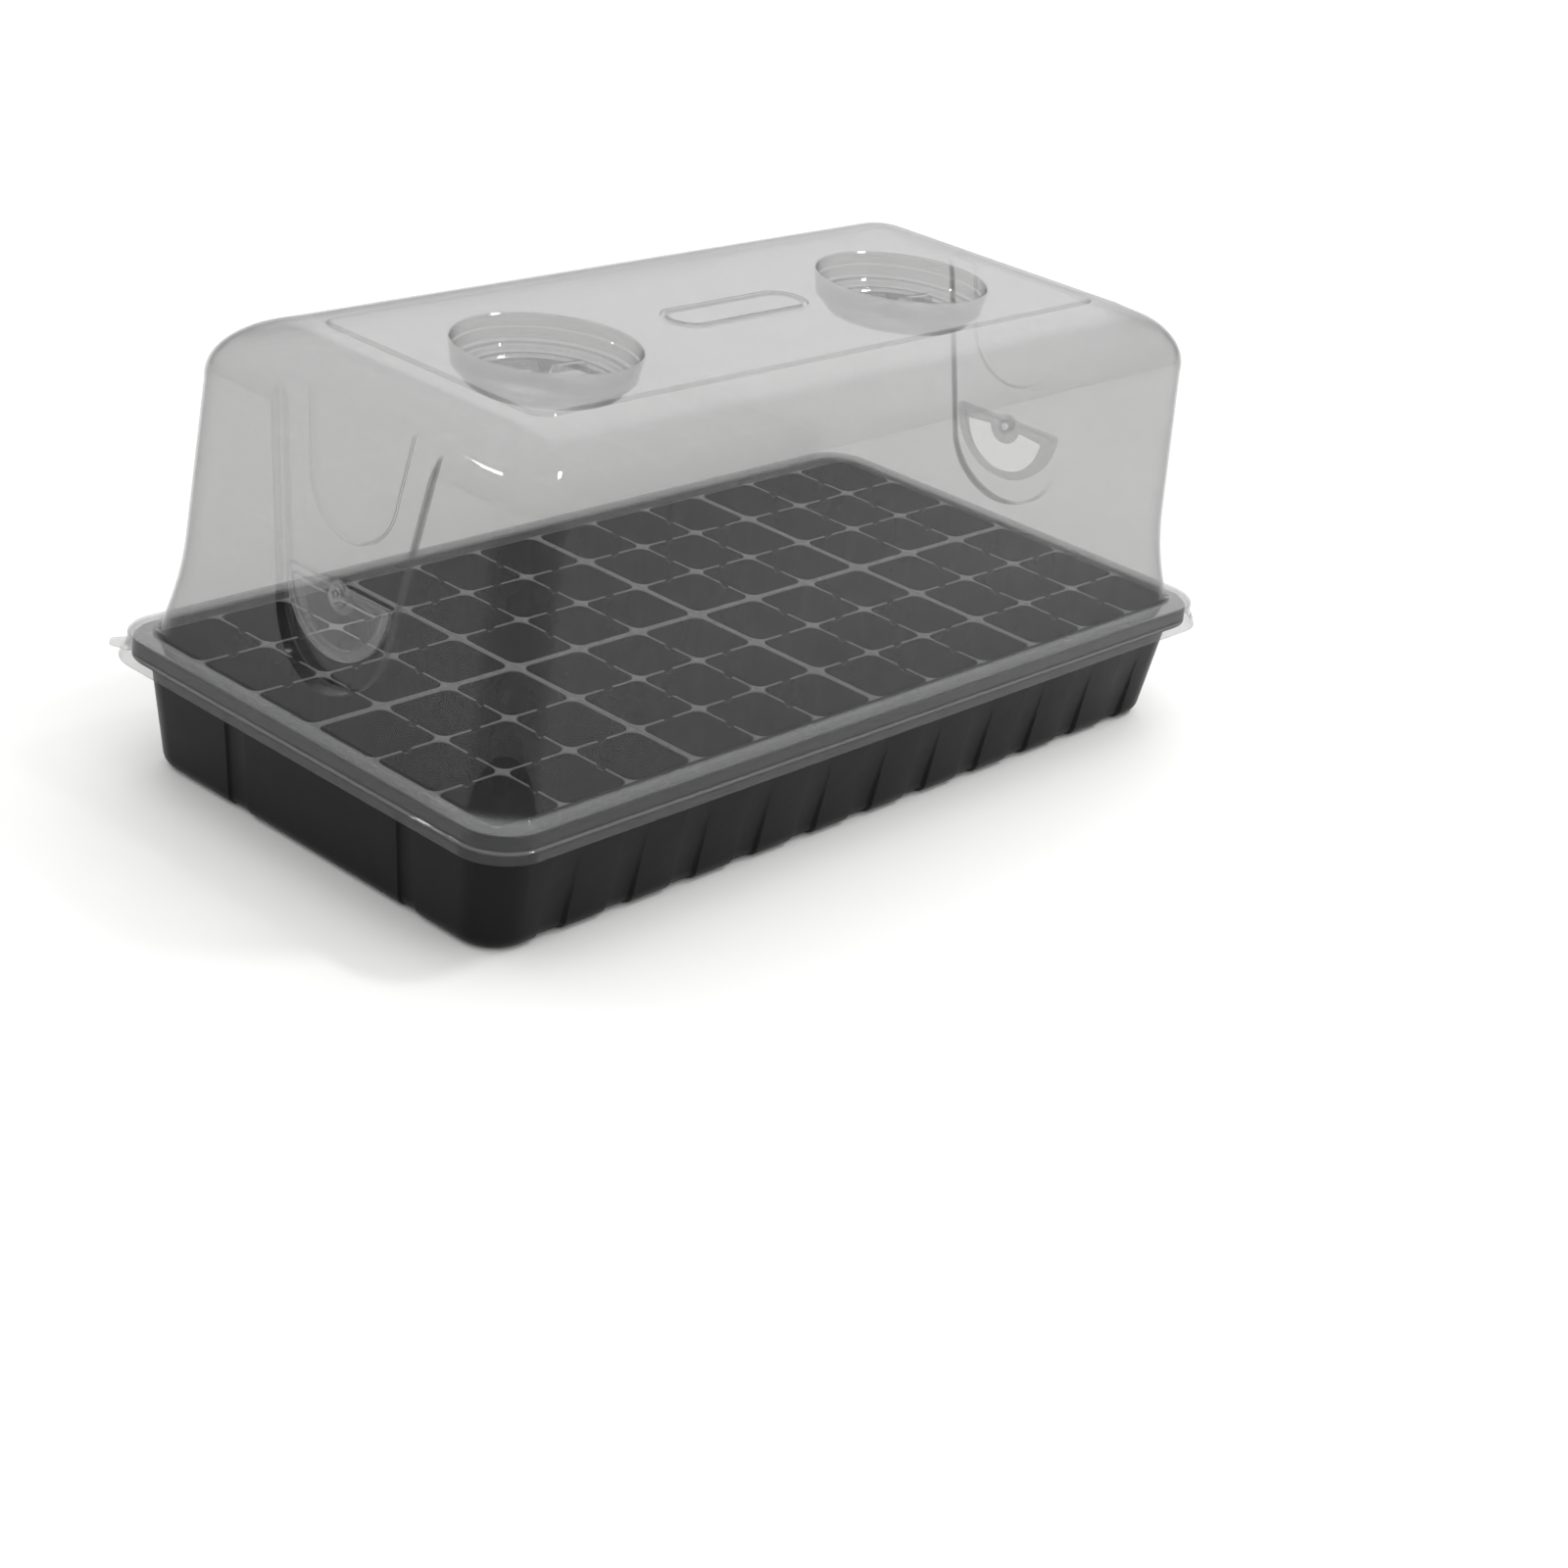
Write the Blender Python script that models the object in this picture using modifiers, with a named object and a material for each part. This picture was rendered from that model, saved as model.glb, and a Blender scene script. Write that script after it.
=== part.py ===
"""Seedling propagation kit: a 1020 nursery tray, a 72-cell insert of eight nine-cell packs,
and a tall clear humidity dome with two round top vents and a half-moon vent in each end.

Origin: centre of the tray's underside. +X runs along the long side, +Y to the back, +Z up.
Sizes are millimetres, turned to metres by MM.
"""

import math

import bmesh
import bpy
from mathutils import Matrix, Vector

MM = 0.001
GAP = 0.3 * MM  # clearance between touching pieces
CORNER_STEPS = 5  # faces round each vertical corner
TURN_STEPS = 28  # faces round a turned shape

# Tray
TRAY_HALF = (267.9 * MM, 137.3 * MM)  # rim flange, half length and half width
TRAY_SHEET = 1.2 * MM
RIM_TOP = 66.4 * MM
RIM_WIDTH = 6.6 * MM
RIM_LIP_BOTTOM = 57.5 * MM
WALL_DRAFT = 6.7 * MM  # how far the wall leans in from rim to floor
FLOOR_RADIUS = 6.0 * MM

# Cell packs
CELL_PITCH = (43.2 * MM, 41.9 * MM)
CELLS = 3  # cells along each side of a pack
PACK_COLUMNS, PACK_ROWS = 4, 2
INSERT_TOP = 67.5 * MM
INSERT_SHEET = 0.8 * MM
INSERT_HALF = (264.8 * MM, 133.9 * MM)
INSERT_CHAMFER = 12.0 * MM
CELL_RIDGE = 3.0 * MM
CELL_DEPTH = 55.0 * MM
CELL_FOOT = 0.62  # size of a cell's foot over its mouth
CELL_CORNER = 6.0 * MM
DRAIN_INSET = 7.5 * MM

# Dome
DOME_HALF = (273.0 * MM, 142.4 * MM)  # outer edge of the base lip
DOME_SHEET = 1.2 * MM
DOME_TOP = 233.0 * MM
LIP_BOTTOM = 56.2 * MM
LEDGE_TOP = 69.0 * MM
LEDGE_INSET = (3.4 * MM, 13.2 * MM)
WALL_BASE = 71.5 * MM
FLARE_TOP = 121.0 * MM
WALL_TOP = 200.0 * MM
WALL_INSET = 13.9 * MM
WALL_SLOPE = 0.045
FLARE = 5.5 * MM
PANEL_INSET = 67.0 * MM
PANEL_STEP = 1.5 * MM
LIP_RADIUS, WALL_RADIUS, PANEL_RADIUS = 26.0 * MM, 24.0 * MM, 12.0 * MM
TAB_REACH = 6.0 * MM
PLATE_HALF_LENGTH, PLATE_HALF_WIDTH, PLATE_DEPTH = 48.0 * MM, 14.0 * MM, 0.5 * MM

# Round top vents
CUP_X = 129.4 * MM
CUP_RADIUS = 45.2 * MM
CUP_STEP_DEPTH = 13.3 * MM
CUP_DEPTH = 19.5 * MM
CUP_STEP_RADII = (43.4 * MM, 38.6 * MM)
CUP_FLOOR_RADIUS = 37.4 * MM
DIAL_RADIUS = 36.2 * MM
DIAL_SHEET = 1.2 * MM
GRIP_HALF_LENGTH, GRIP_HALF_WIDTH, GRIP_HEIGHT = 27.0 * MM, 3.5 * MM, 7.0 * MM
AIR_RADII = (11.0 * MM, 31.0 * MM)
AIR_ANGLE = math.radians(76)
GRIP_CLEARANCE = 1.2 * MM  # between the hub's head and each grip
HUB_RADIUS = 3.0 * MM
HUB_HEAD = 5.5 * MM
HEAD_HEIGHT = 1.4 * MM

# Half-moon end vents
PIVOT_HEIGHT = 130.7 * MM
PIVOT_X = 245.5 * MM  # recess floor at pivot height
FLOOR_TILT = math.atan(0.045)  # lean of the recess floor
RECESS_RADIUS = 37.5 * MM
RECESS_CENTRE = -7.9 * MM  # centre of the U's round bottom, below the pivot
RECESS_TOP = 100.0 * MM
RECESS_SPREAD = 0.2
UPPER_RADIUS = 30.0 * MM
UPPER_CENTRE = 54.7 * MM
UPPER_DEPTH = 2.5 * MM
FLAP_RADIUS = 35.6 * MM
FLAP_EDGE = 4.4 * MM  # straight edge above the pivot
FLAP_SHEET = 1.2 * MM
FLAP_RIM_WIDTH, FLAP_RIM_HEIGHT = 4.0 * MM, 1.2 * MM
RIB_LENGTH, RIB_HALF_WIDTH, RIB_HEIGHT = 28.0 * MM, 1.6 * MM, 3.6 * MM
BOSS_RADIUS = 6.5 * MM
END_AIR_RADII = (10.0 * MM, 26.5 * MM)
RIVET_RADIUS = 2.2 * MM
RIVET_HEAD = 4.2 * MM


def clear_scene():
    for obj in list(bpy.data.objects):
        bpy.data.objects.remove(obj, do_unlink=True)


def new_collection(name):
    collection = bpy.data.collections.new(name)
    bpy.context.scene.collection.children.link(collection)
    return collection


def plastic(name, colour, roughness, alpha=1.0):
    material = bpy.data.materials.new(name)
    material.use_nodes = True
    shader = material.node_tree.nodes["Principled BSDF"]
    shader.inputs["Base Color"].default_value = (*colour, 1.0)
    shader.inputs["Roughness"].default_value = roughness
    shader.inputs["Metallic"].default_value = 0.0
    shader.inputs["Alpha"].default_value = alpha
    return material


def look_up(bm):
    """Turns an open sheet's faces so that its level ones look up, into the tray or the cells."""
    bmesh.ops.recalc_face_normals(bm, faces=bm.faces)
    bm.normal_update()
    if sum(face.normal.z * face.calc_area() for face in bm.faces) < 0:
        bmesh.ops.reverse_faces(bm, faces=bm.faces)


def add_object(name, bm, collection, material=None, place=None, sheet=0.0):
    """Turns a bmesh into an object, as a part or as a cutter. A sheet is thickened downwards."""
    if sheet:
        look_up(bm)
    else:
        bmesh.ops.recalc_face_normals(bm, faces=bm.faces)
    mesh = bpy.data.meshes.new(name)
    bm.to_mesh(mesh)
    bm.free()
    obj = bpy.data.objects.new(name, mesh)
    collection.objects.link(obj)
    if place is not None:
        obj.matrix_world = place
    if material:
        mesh.materials.append(material)
        mesh.shade_smooth()
        mesh.set_sharp_from_angle(angle=math.radians(32))
    else:
        obj.hide_render = True
        obj.display_type = "WIRE"
    if sheet:
        solidify = obj.modifiers.new("sheet", "SOLIDIFY")
        solidify.thickness = sheet
        solidify.offset = -1
        solidify.use_even_offset = True
        solidify.use_quality_normals = True
    return obj


def boolean(obj, other, operation="DIFFERENCE"):
    modifier = obj.modifiers.new(f"{operation.lower()} {other.name}", "BOOLEAN")
    modifier.operation = operation
    modifier.object = other
    modifier.solver = "EXACT"


def rounded_ring(half_x, half_y, radius, z):
    """Points round a rectangle with round corners, anticlockwise from the right side."""
    points = []
    for quarter, (sign_x, sign_y) in enumerate(((1, 1), (-1, 1), (-1, -1), (1, -1))):
        centre = Vector((sign_x * (half_x - radius), sign_y * (half_y - radius), z))
        for step in range(CORNER_STEPS + 1):
            angle = (quarter + step / CORNER_STEPS) * math.pi / 2
            points.append(centre + radius * Vector((math.cos(angle), math.sin(angle), 0)))
    return points


def loft(rings, cap_top=True):
    """A surface through rings of equal length, closed at the first and, if asked, the last."""
    bm = bmesh.new()
    loops = [[bm.verts.new(point) for point in ring] for ring in rings]
    for low, high in zip(loops, loops[1:]):
        for i in range(len(low)):
            j = (i + 1) % len(low)
            bm.faces.new((low[i], low[j], high[j], high[i]))
    bm.faces.new(reversed(loops[0]))
    if cap_top:
        bm.faces.new(loops[-1])
    return bm


def offset_profile(profile, distance):
    """Moves a profile to its left by a distance, with mitred corners."""
    moved = []
    for i, point in enumerate(profile):
        before = profile[max(i - 1, 0)]
        after = profile[min(i + 1, len(profile) - 1)]
        normals = []
        for start, end in ((before, point), (point, after)):
            along = Vector((end[0] - start[0], end[1] - start[1]))
            if along.length > 0:
                normals.append(Vector((-along.y, along.x)).normalized())
        mean = sum(normals, Vector((0, 0))).normalized()
        step = mean * (distance / max(mean.dot(normals[0]), 0.3))
        moved.append((point[0] + step.x, point[1] + step.y))
    return moved


def turned(name, profile, collection, material=None, place=None):
    """A solid of revolution about Z from (radius, height) points, top to bottom."""
    bm = bmesh.new()
    verts = [bm.verts.new((radius, 0, height)) for radius, height in profile]
    for start, end in zip(verts, verts[1:]):
        bm.edges.new((start, end))
    bmesh.ops.spin(
        bm, geom=bm.verts[:] + bm.edges[:], axis=(0, 0, 1), cent=(0, 0, 0),
        angle=math.tau, steps=TURN_STEPS, use_merge=True,
    )
    bmesh.ops.remove_doubles(bm, verts=bm.verts, dist=0.00001)
    return add_object(name, bm, collection, material, place)


def prism(name, outline, low, high, collection, material=None, place=None):
    """An outline in the XY plane, extruded from one height to another."""
    bm = bmesh.new()
    face = bm.faces.new([bm.verts.new((x, y, low)) for x, y in outline])
    grown = bmesh.ops.extrude_face_region(bm, geom=[face])["geom"]
    raised = [item for item in grown if isinstance(item, bmesh.types.BMVert)]
    bmesh.ops.translate(bm, verts=raised, vec=(0, 0, high - low))
    return add_object(name, bm, collection, material, place)


def arc(centre, radius, start, end, steps):
    return [
        (
            centre[0] + radius * math.cos(start + (end - start) * i / steps),
            centre[1] + radius * math.sin(start + (end - start) * i / steps),
        )
        for i in range(steps + 1)
    ]


def sector(radii, start, end, steps=8):
    return arc((0, 0), radii[0], end, start, steps) + arc((0, 0), radii[1], start, end, steps)


def stadium(half_length, half_width, steps=6):
    reach = half_length - half_width
    right = arc((reach, 0), half_width, -math.pi / 2, math.pi / 2, steps)
    left = arc((-reach, 0), half_width, math.pi / 2, 3 * math.pi / 2, steps)
    return right + left


def recess_outline(radius, centre, grow=0.0):
    """A U with a round bottom and slightly spreading sides, open upwards past the shoulder."""
    bottom = arc((0, centre), radius + grow, math.pi, math.tau, 14)
    spread = radius + grow + RECESS_SPREAD * (RECESS_TOP - centre)
    return [(-spread, RECESS_TOP), *bottom, (spread, RECESS_TOP)]


def flap_outline(inset=0.0):
    """The half-moon: a straight edge above the pivot and a half circle below it."""
    radius = FLAP_RADIUS - inset
    lower = arc((0, FLAP_EDGE), radius, math.pi + 0.12, math.tau - 0.12, 16)
    return [(-radius + inset, FLAP_EDGE - inset), *lower, (radius - inset, FLAP_EDGE - inset)]


def end_frame(side, outward=0.0):
    """Local frame of an end vent: X across the end, Y up the recess floor, Z out of the dome."""
    out = Vector((side * math.cos(FLOOR_TILT), 0, math.sin(FLOOR_TILT)))
    up = Vector((-side * math.sin(FLOOR_TILT), 0, math.cos(FLOOR_TILT)))
    across = up.cross(out)
    rotation = Matrix((across, up, out)).transposed().to_4x4()
    pivot = Vector((side * PIVOT_X, 0, PIVOT_HEIGHT))
    return Matrix.Translation(pivot + out * outward) @ rotation


def build_tray(parts, material):
    half_x, half_y = TRAY_HALF
    wall = RIM_WIDTH
    foot = wall + WALL_DRAFT
    profile = (
        (foot + 1.5 * FLOOR_RADIUS, TRAY_SHEET, 16 * MM),
        (foot + 0.3 * FLOOR_RADIUS, TRAY_SHEET + 0.25 * FLOOR_RADIUS, 21 * MM),
        (foot, TRAY_SHEET + FLOOR_RADIUS, 22 * MM),
        (wall, RIM_TOP, 20 * MM),
        (0.0, RIM_TOP, 22 * MM),
        (-0.3 * MM, RIM_LIP_BOTTOM, 22 * MM),
    )
    rings = [rounded_ring(half_x - inset, half_y - inset, radius, z) for inset, z, radius in profile]
    add_object("tray", loft(rings, cap_top=False), parts, material, sheet=TRAY_SHEET)


def cell_pack(name, column, row, parts, material):
    """Nine tapered cells hanging from one sheet, with a drain hole in each foot."""
    pitch_x, pitch_y = CELL_PITCH
    centre_x = (column - (PACK_COLUMNS - 1) / 2) * CELLS * pitch_x
    centre_y = (row - (PACK_ROWS - 1) / 2) * CELLS * pitch_y
    bm = bmesh.new()
    bmesh.ops.create_grid(bm, x_segments=CELLS, y_segments=CELLS, size=0.5)
    bmesh.ops.scale(bm, vec=(CELLS * pitch_x, CELLS * pitch_y, 1), verts=bm.verts)
    border = [vert for vert in bm.verts if vert.is_boundary]
    half_x, half_y = CELLS * pitch_x / 2, CELLS * pitch_y / 2
    cells = bm.faces[:]
    bmesh.ops.inset_individual(bm, faces=cells, thickness=CELL_RIDGE / 2)
    for cell in cells:
        mouth = cell.calc_center_median()
        floor = bmesh.ops.extrude_discrete_faces(bm, faces=[cell])["faces"][0]
        bmesh.ops.translate(bm, verts=floor.verts, vec=(0, 0, -CELL_DEPTH))
        bmesh.ops.scale(
            bm, vec=(CELL_FOOT, CELL_FOOT, 1), verts=floor.verts,
            space=Matrix.Translation(-mouth),
        )
    bmesh.ops.remove_doubles(bm, verts=bm.verts, dist=0.00001)
    uprights = [edge for edge in bm.edges if abs(edge.verts[0].co.z - edge.verts[1].co.z) > CELL_DEPTH / 2]
    bmesh.ops.bevel(
        bm, geom=uprights, offset=CELL_CORNER, segments=1, profile=0.5,
        affect="EDGES", material=-1, clamp_overlap=False,
    )
    floors = [face for face in bm.faces if face.calc_center_median().z < -0.9 * CELL_DEPTH]
    bmesh.ops.inset_individual(bm, faces=floors, thickness=DRAIN_INSET)
    bmesh.ops.delete(bm, geom=floors, context="FACES_ONLY")
    edge_x = INSERT_HALF[0] - abs(centre_x)
    edge_y = INSERT_HALF[1] - abs(centre_y)
    for vert in border:
        if abs(abs(vert.co.x) - half_x) < GAP:
            outer = vert.co.x * centre_x > 0 and column in (0, PACK_COLUMNS - 1)
            vert.co.x = math.copysign(edge_x if outer else half_x - GAP / 2, vert.co.x)
        if abs(abs(vert.co.y) - half_y) < GAP:
            outer = vert.co.y * centre_y > 0
            vert.co.y = math.copysign(edge_y if outer else half_y - GAP / 2, vert.co.y)
    bmesh.ops.translate(bm, verts=bm.verts, vec=(centre_x, centre_y, INSERT_TOP))
    if column in (0, PACK_COLUMNS - 1):
        corner = Vector((math.copysign(INSERT_HALF[0], centre_x), math.copysign(INSERT_HALF[1], centre_y), 0))
        outward = Vector((math.copysign(1, centre_x), math.copysign(1, centre_y), 0)).normalized()
        bmesh.ops.bisect_plane(
            bm, geom=bm.verts[:] + bm.edges[:] + bm.faces[:],
            plane_co=corner - outward * INSERT_CHAMFER / math.sqrt(2), plane_no=outward, clear_outer=True,
        )
    add_object(name, bm, parts, material, sheet=INSERT_SHEET)


def dome_profile():
    """(inset from the lip, height) up the outside of the dome, with each ring's corner radius."""
    points = [
        (0.0, LIP_BOTTOM, LIP_RADIUS),
        (1.3 * MM, LIP_BOTTOM + 4.4 * MM, LIP_RADIUS),
        (3.0 * MM, LIP_BOTTOM + 5.2 * MM, LIP_RADIUS - 1.7 * MM),
        (LEDGE_INSET[0], LEDGE_TOP, LIP_RADIUS - 2 * MM),
        (LEDGE_INSET[1], LEDGE_TOP, WALL_RADIUS - 3 * MM),
    ]
    for height in (WALL_BASE, 84 * MM, 97 * MM, FLARE_TOP, WALL_TOP):
        rise = height - WALL_BASE
        fade = max(FLARE_TOP - height, 0) / (FLARE_TOP - WALL_BASE)
        points.append((WALL_INSET + WALL_SLOPE * rise + FLARE * (1 - fade**2), height, WALL_RADIUS))
    start = points[-1][0]
    for step in range(1, 6):
        angle = step * math.pi / 10
        inset = PANEL_INSET - (PANEL_INSET - start) * math.cos(angle)
        height = WALL_TOP + (DOME_TOP - PANEL_STEP - WALL_TOP) * math.sin(angle)
        radius = WALL_RADIUS + (PANEL_RADIUS - WALL_RADIUS) * step / 5
        points.append((inset, height, radius))
    points.append((PANEL_INSET + PANEL_STEP, DOME_TOP, PANEL_RADIUS))
    return points


def dome_body(name, collection, material=None, inset=0.0):
    """The dome as a solid, or, with an inset, the hollow inside it."""
    outside = dome_profile()
    profile = [(point[0], point[1]) for point in outside]
    if inset:
        profile = offset_profile(profile, -inset)
        profile[0] = (profile[0][0], LIP_BOTTOM - 5 * MM)
    rings = [
        rounded_ring(DOME_HALF[0] - across, DOME_HALF[1] - across, point[2] - inset, height)
        for (across, height), point in zip(profile, outside)
    ]
    return add_object(name, loft(rings), collection, material)


def cup_profile(grow=0.0):
    """The hollow of a round top vent, from above the dome down to the cup's floor."""
    step = DOME_TOP - CUP_STEP_DEPTH - grow
    floor = DOME_TOP - CUP_DEPTH - grow
    return (
        (0.0, DOME_TOP + 4 * MM),
        (CUP_RADIUS + grow, DOME_TOP + 4 * MM),
        (CUP_RADIUS + grow, DOME_TOP),
        (CUP_STEP_RADII[0] + grow, step),
        (CUP_STEP_RADII[1] + grow, step),
        (CUP_FLOOR_RADIUS + grow, floor),
        (0.0, floor),
    )


def build_dome(parts, cutters, material):
    dome = dome_body("dome", parts, material)
    hollow = dome_body("dome_hollow", cutters, inset=DOME_SHEET)
    corner = Vector((-DOME_HALF[0], DOME_HALF[1], LIP_BOTTOM + 5.2 * MM))
    inward = Vector((1, -1, 0)).normalized()
    arc_gap = LIP_RADIUS * (math.sqrt(2) - 1)
    tab = prism(
        "corner_tab", [(-11 * MM, -6 * MM), (11 * MM, -6 * MM), (4 * MM, TAB_REACH), (-4 * MM, TAB_REACH)],
        -DOME_SHEET, 0.0, cutters,
        place=Matrix.Translation(corner + inward * (arc_gap + 1.6 * MM)) @ Matrix.Rotation(math.pi / 4, 4, "Z"),
    )
    boolean(dome, tab, "UNION")
    plate = prism(
        "nameplate_sink", stadium(PLATE_HALF_LENGTH, PLATE_HALF_WIDTH), DOME_TOP - PLATE_DEPTH,
        DOME_TOP + 2 * MM, cutters,
    )
    boolean(dome, plate)
    for side, end in ((-1, "left"), (1, "right")):
        centre = Matrix.Translation((side * CUP_X, 0, 0))
        boolean(dome, turned(f"cup_{end}", cup_profile(), cutters, place=centre))
        boolean(hollow, turned(f"cup_wall_{end}", cup_profile(DOME_SHEET), cutters, place=centre))
        for radius, height, depth, level in (
            (RECESS_RADIUS, RECESS_CENTRE, 0.0, "recess"),
            (UPPER_RADIUS, UPPER_CENTRE, UPPER_DEPTH, "upper_recess"),
        ):
            outline = recess_outline(radius, height)
            wall = recess_outline(radius, height, DOME_SHEET)
            boolean(dome, prism(f"{level}_{end}", outline, 0, 40 * MM, cutters, place=end_frame(side, -depth)))
            grown = prism(
                f"{level}_wall_{end}", wall, 0, 40 * MM, cutters, place=end_frame(side, -depth - DOME_SHEET),
            )
            boolean(hollow, grown)
    boolean(dome, hollow)
    for side, end in ((-1, "left"), (1, "right")):
        for turn in (0.0, math.pi):
            start = turn - AIR_ANGLE / 2
            boolean(dome, prism(
                f"cup_air_{end}_{int(turn > 0)}", sector(AIR_RADII, start, start + AIR_ANGLE),
                DOME_TOP - CUP_DEPTH - 4 * MM, DOME_TOP - CUP_DEPTH + 2 * MM, cutters,
                place=Matrix.Translation((side * CUP_X, 0, 0)),
            ))
        air = sector(END_AIR_RADII, math.pi + 0.1, math.tau - 0.1, 14)
        boolean(dome, prism(f"end_air_{end}", air, -4 * MM, 2 * MM, cutters, place=end_frame(side)))
        hub = arc((0, 0), HUB_RADIUS + GAP, 0, math.tau, 12)[:-1]
        boolean(dome, prism(
            f"hub_hole_{end}", hub, DOME_TOP - CUP_DEPTH - 4 * MM, DOME_TOP - CUP_DEPTH + 2 * MM, cutters,
            place=Matrix.Translation((side * CUP_X, 0, 0)),
        ))
        rivet = arc((0, 0), RIVET_RADIUS + GAP, 0, math.tau, 12)[:-1]
        boolean(dome, prism(f"rivet_hole_{end}", rivet, -4 * MM, 2 * MM, cutters, place=end_frame(side)))


def build_top_vent(side, end, parts, cutters, dial_material, hub_material):
    """The dial that turns in the cup, closed at rest, and the hub that holds it down."""
    floor = DOME_TOP - CUP_DEPTH
    place = Matrix.Translation((side * CUP_X, 0, floor + GAP))
    rim = arc((0, 0), DIAL_RADIUS, 0, math.tau, TURN_STEPS)[:-1]
    dial = prism(f"top_vent_dial_{end}", rim, 0, DIAL_SHEET, parts, dial_material, place)
    grip_low = DIAL_SHEET / 2
    for reach in (-1, 1):
        centre = reach * (GRIP_HALF_LENGTH + HUB_HEAD + GRIP_CLEARANCE) / 2
        half = (GRIP_HALF_LENGTH - HUB_HEAD - GRIP_CLEARANCE) / 2
        grip = prism(
            f"grip_{end}_{reach}", stadium(half, GRIP_HALF_WIDTH, 3), grip_low, GRIP_HEIGHT, cutters,
            place=place @ Matrix.Translation((centre, 0, 0)),
        )
        boolean(dial, grip, "UNION")
    for turn in (math.pi / 2, 3 * math.pi / 2):
        start = turn - AIR_ANGLE / 2
        boolean(dial, prism(
            f"dial_air_{end}_{int(turn > 2)}", sector(AIR_RADII, start, start + AIR_ANGLE),
            -2 * MM, DIAL_SHEET + 2 * MM, cutters, place=place,
        ))
    bore = arc((0, 0), HUB_RADIUS + GAP, 0, math.tau, 12)[:-1]
    boolean(dial, prism(f"dial_bore_{end}", bore, -2 * MM, 9 * MM, cutters, place=place))
    under = -GAP - DOME_SHEET - GAP
    top = DIAL_SHEET + GAP
    turned(f"top_vent_hub_{end}", (
        (0.0, top + HEAD_HEIGHT),
        (HUB_HEAD, top + HEAD_HEIGHT),
        (HUB_HEAD, top),
        (HUB_RADIUS, top),
        (HUB_RADIUS, under),
        (HUB_HEAD, under),
        (HUB_HEAD, under - HEAD_HEIGHT),
        (0.0, under - HEAD_HEIGHT),
    ), parts, hub_material, place)


def build_end_vent(side, end, parts, cutters, flap_material, rivet_material):
    """The half-moon flap over the end opening, and the rivet that it turns on."""
    place = end_frame(side, GAP)
    flap = prism(f"end_vent_flap_{end}", flap_outline(), 0, FLAP_SHEET + FLAP_RIM_HEIGHT, parts, flap_material, place)
    boolean(flap, prism(
        f"flap_sink_{end}", flap_outline(FLAP_RIM_WIDTH), FLAP_SHEET, FLAP_SHEET + 9 * MM, cutters, place=place,
    ))
    for reach in (-1, 1):
        middle = reach * (BOSS_RADIUS + RIB_LENGTH) / 2
        half = (RIB_LENGTH - BOSS_RADIUS) / 2 + RIB_HALF_WIDTH
        rib = prism(
            f"rib_{end}_{reach}", stadium(half, RIB_HALF_WIDTH, 3), FLAP_SHEET / 2, FLAP_SHEET + RIB_HEIGHT,
            cutters, place=place @ Matrix.Translation((middle, 0, 0)),
        )
        boolean(flap, rib, "UNION")
    boss = arc((0, 0), BOSS_RADIUS, 0, math.tau, 16)[:-1]
    boolean(flap, prism(
        f"boss_{end}", boss, FLAP_SHEET / 2, FLAP_SHEET + FLAP_RIM_HEIGHT + 0.2 * MM, cutters, place=place,
    ), "UNION")
    bore = arc((0, 0), RIVET_RADIUS + GAP, 0, math.tau, 12)[:-1]
    boolean(flap, prism(f"flap_bore_{end}", bore, -2 * MM, 9 * MM, cutters, place=place))
    top = FLAP_SHEET + FLAP_RIM_HEIGHT + 0.2 * MM + GAP
    under = -GAP - DOME_SHEET - GAP
    turned(f"end_vent_rivet_{end}", (
        (0.0, top + HEAD_HEIGHT),
        (RIVET_HEAD, top + HEAD_HEIGHT),
        (RIVET_HEAD, top),
        (RIVET_RADIUS, top),
        (RIVET_RADIUS, under),
        (RIVET_HEAD, under),
        (RIVET_HEAD, under - HEAD_HEIGHT),
        (0.0, under - HEAD_HEIGHT),
    ), parts, rivet_material, place)


def main():
    clear_scene()
    parts = new_collection("humidity_dome_tray")
    cutters = new_collection("cutters")
    tray_plastic = plastic("tray_black_plastic", (0.028, 0.028, 0.03), 0.38)
    cell_plastic = plastic("cell_pack_black_plastic", (0.035, 0.035, 0.037), 0.32)
    dome_plastic = plastic("dome_clear_plastic", (0.8, 0.82, 0.82), 0.06, 0.25)
    vent_plastic = plastic("vent_clear_plastic", (0.72, 0.75, 0.75), 0.1, 0.45)
    build_tray(parts, tray_plastic)
    for row, side in enumerate(("front", "back")):
        for column in range(PACK_COLUMNS):
            cell_pack(f"cell_pack_{side}_{column + 1}", column, row, parts, cell_plastic)
    build_dome(parts, cutters, dome_plastic)
    for side, end in ((-1, "left"), (1, "right")):
        build_top_vent(side, end, parts, cutters, vent_plastic, vent_plastic)
        build_end_vent(side, end, parts, cutters, vent_plastic, vent_plastic)


main()
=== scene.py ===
"""Looks of a seedling propagation kit: black nursery tray, snap-apart cell insert and clear humidity dome.
"""

import logging
import math
from dataclasses import dataclass
from enum import Enum
from typing import Any

import bmesh
import bpy
from mathutils import Matrix, Vector

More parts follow.
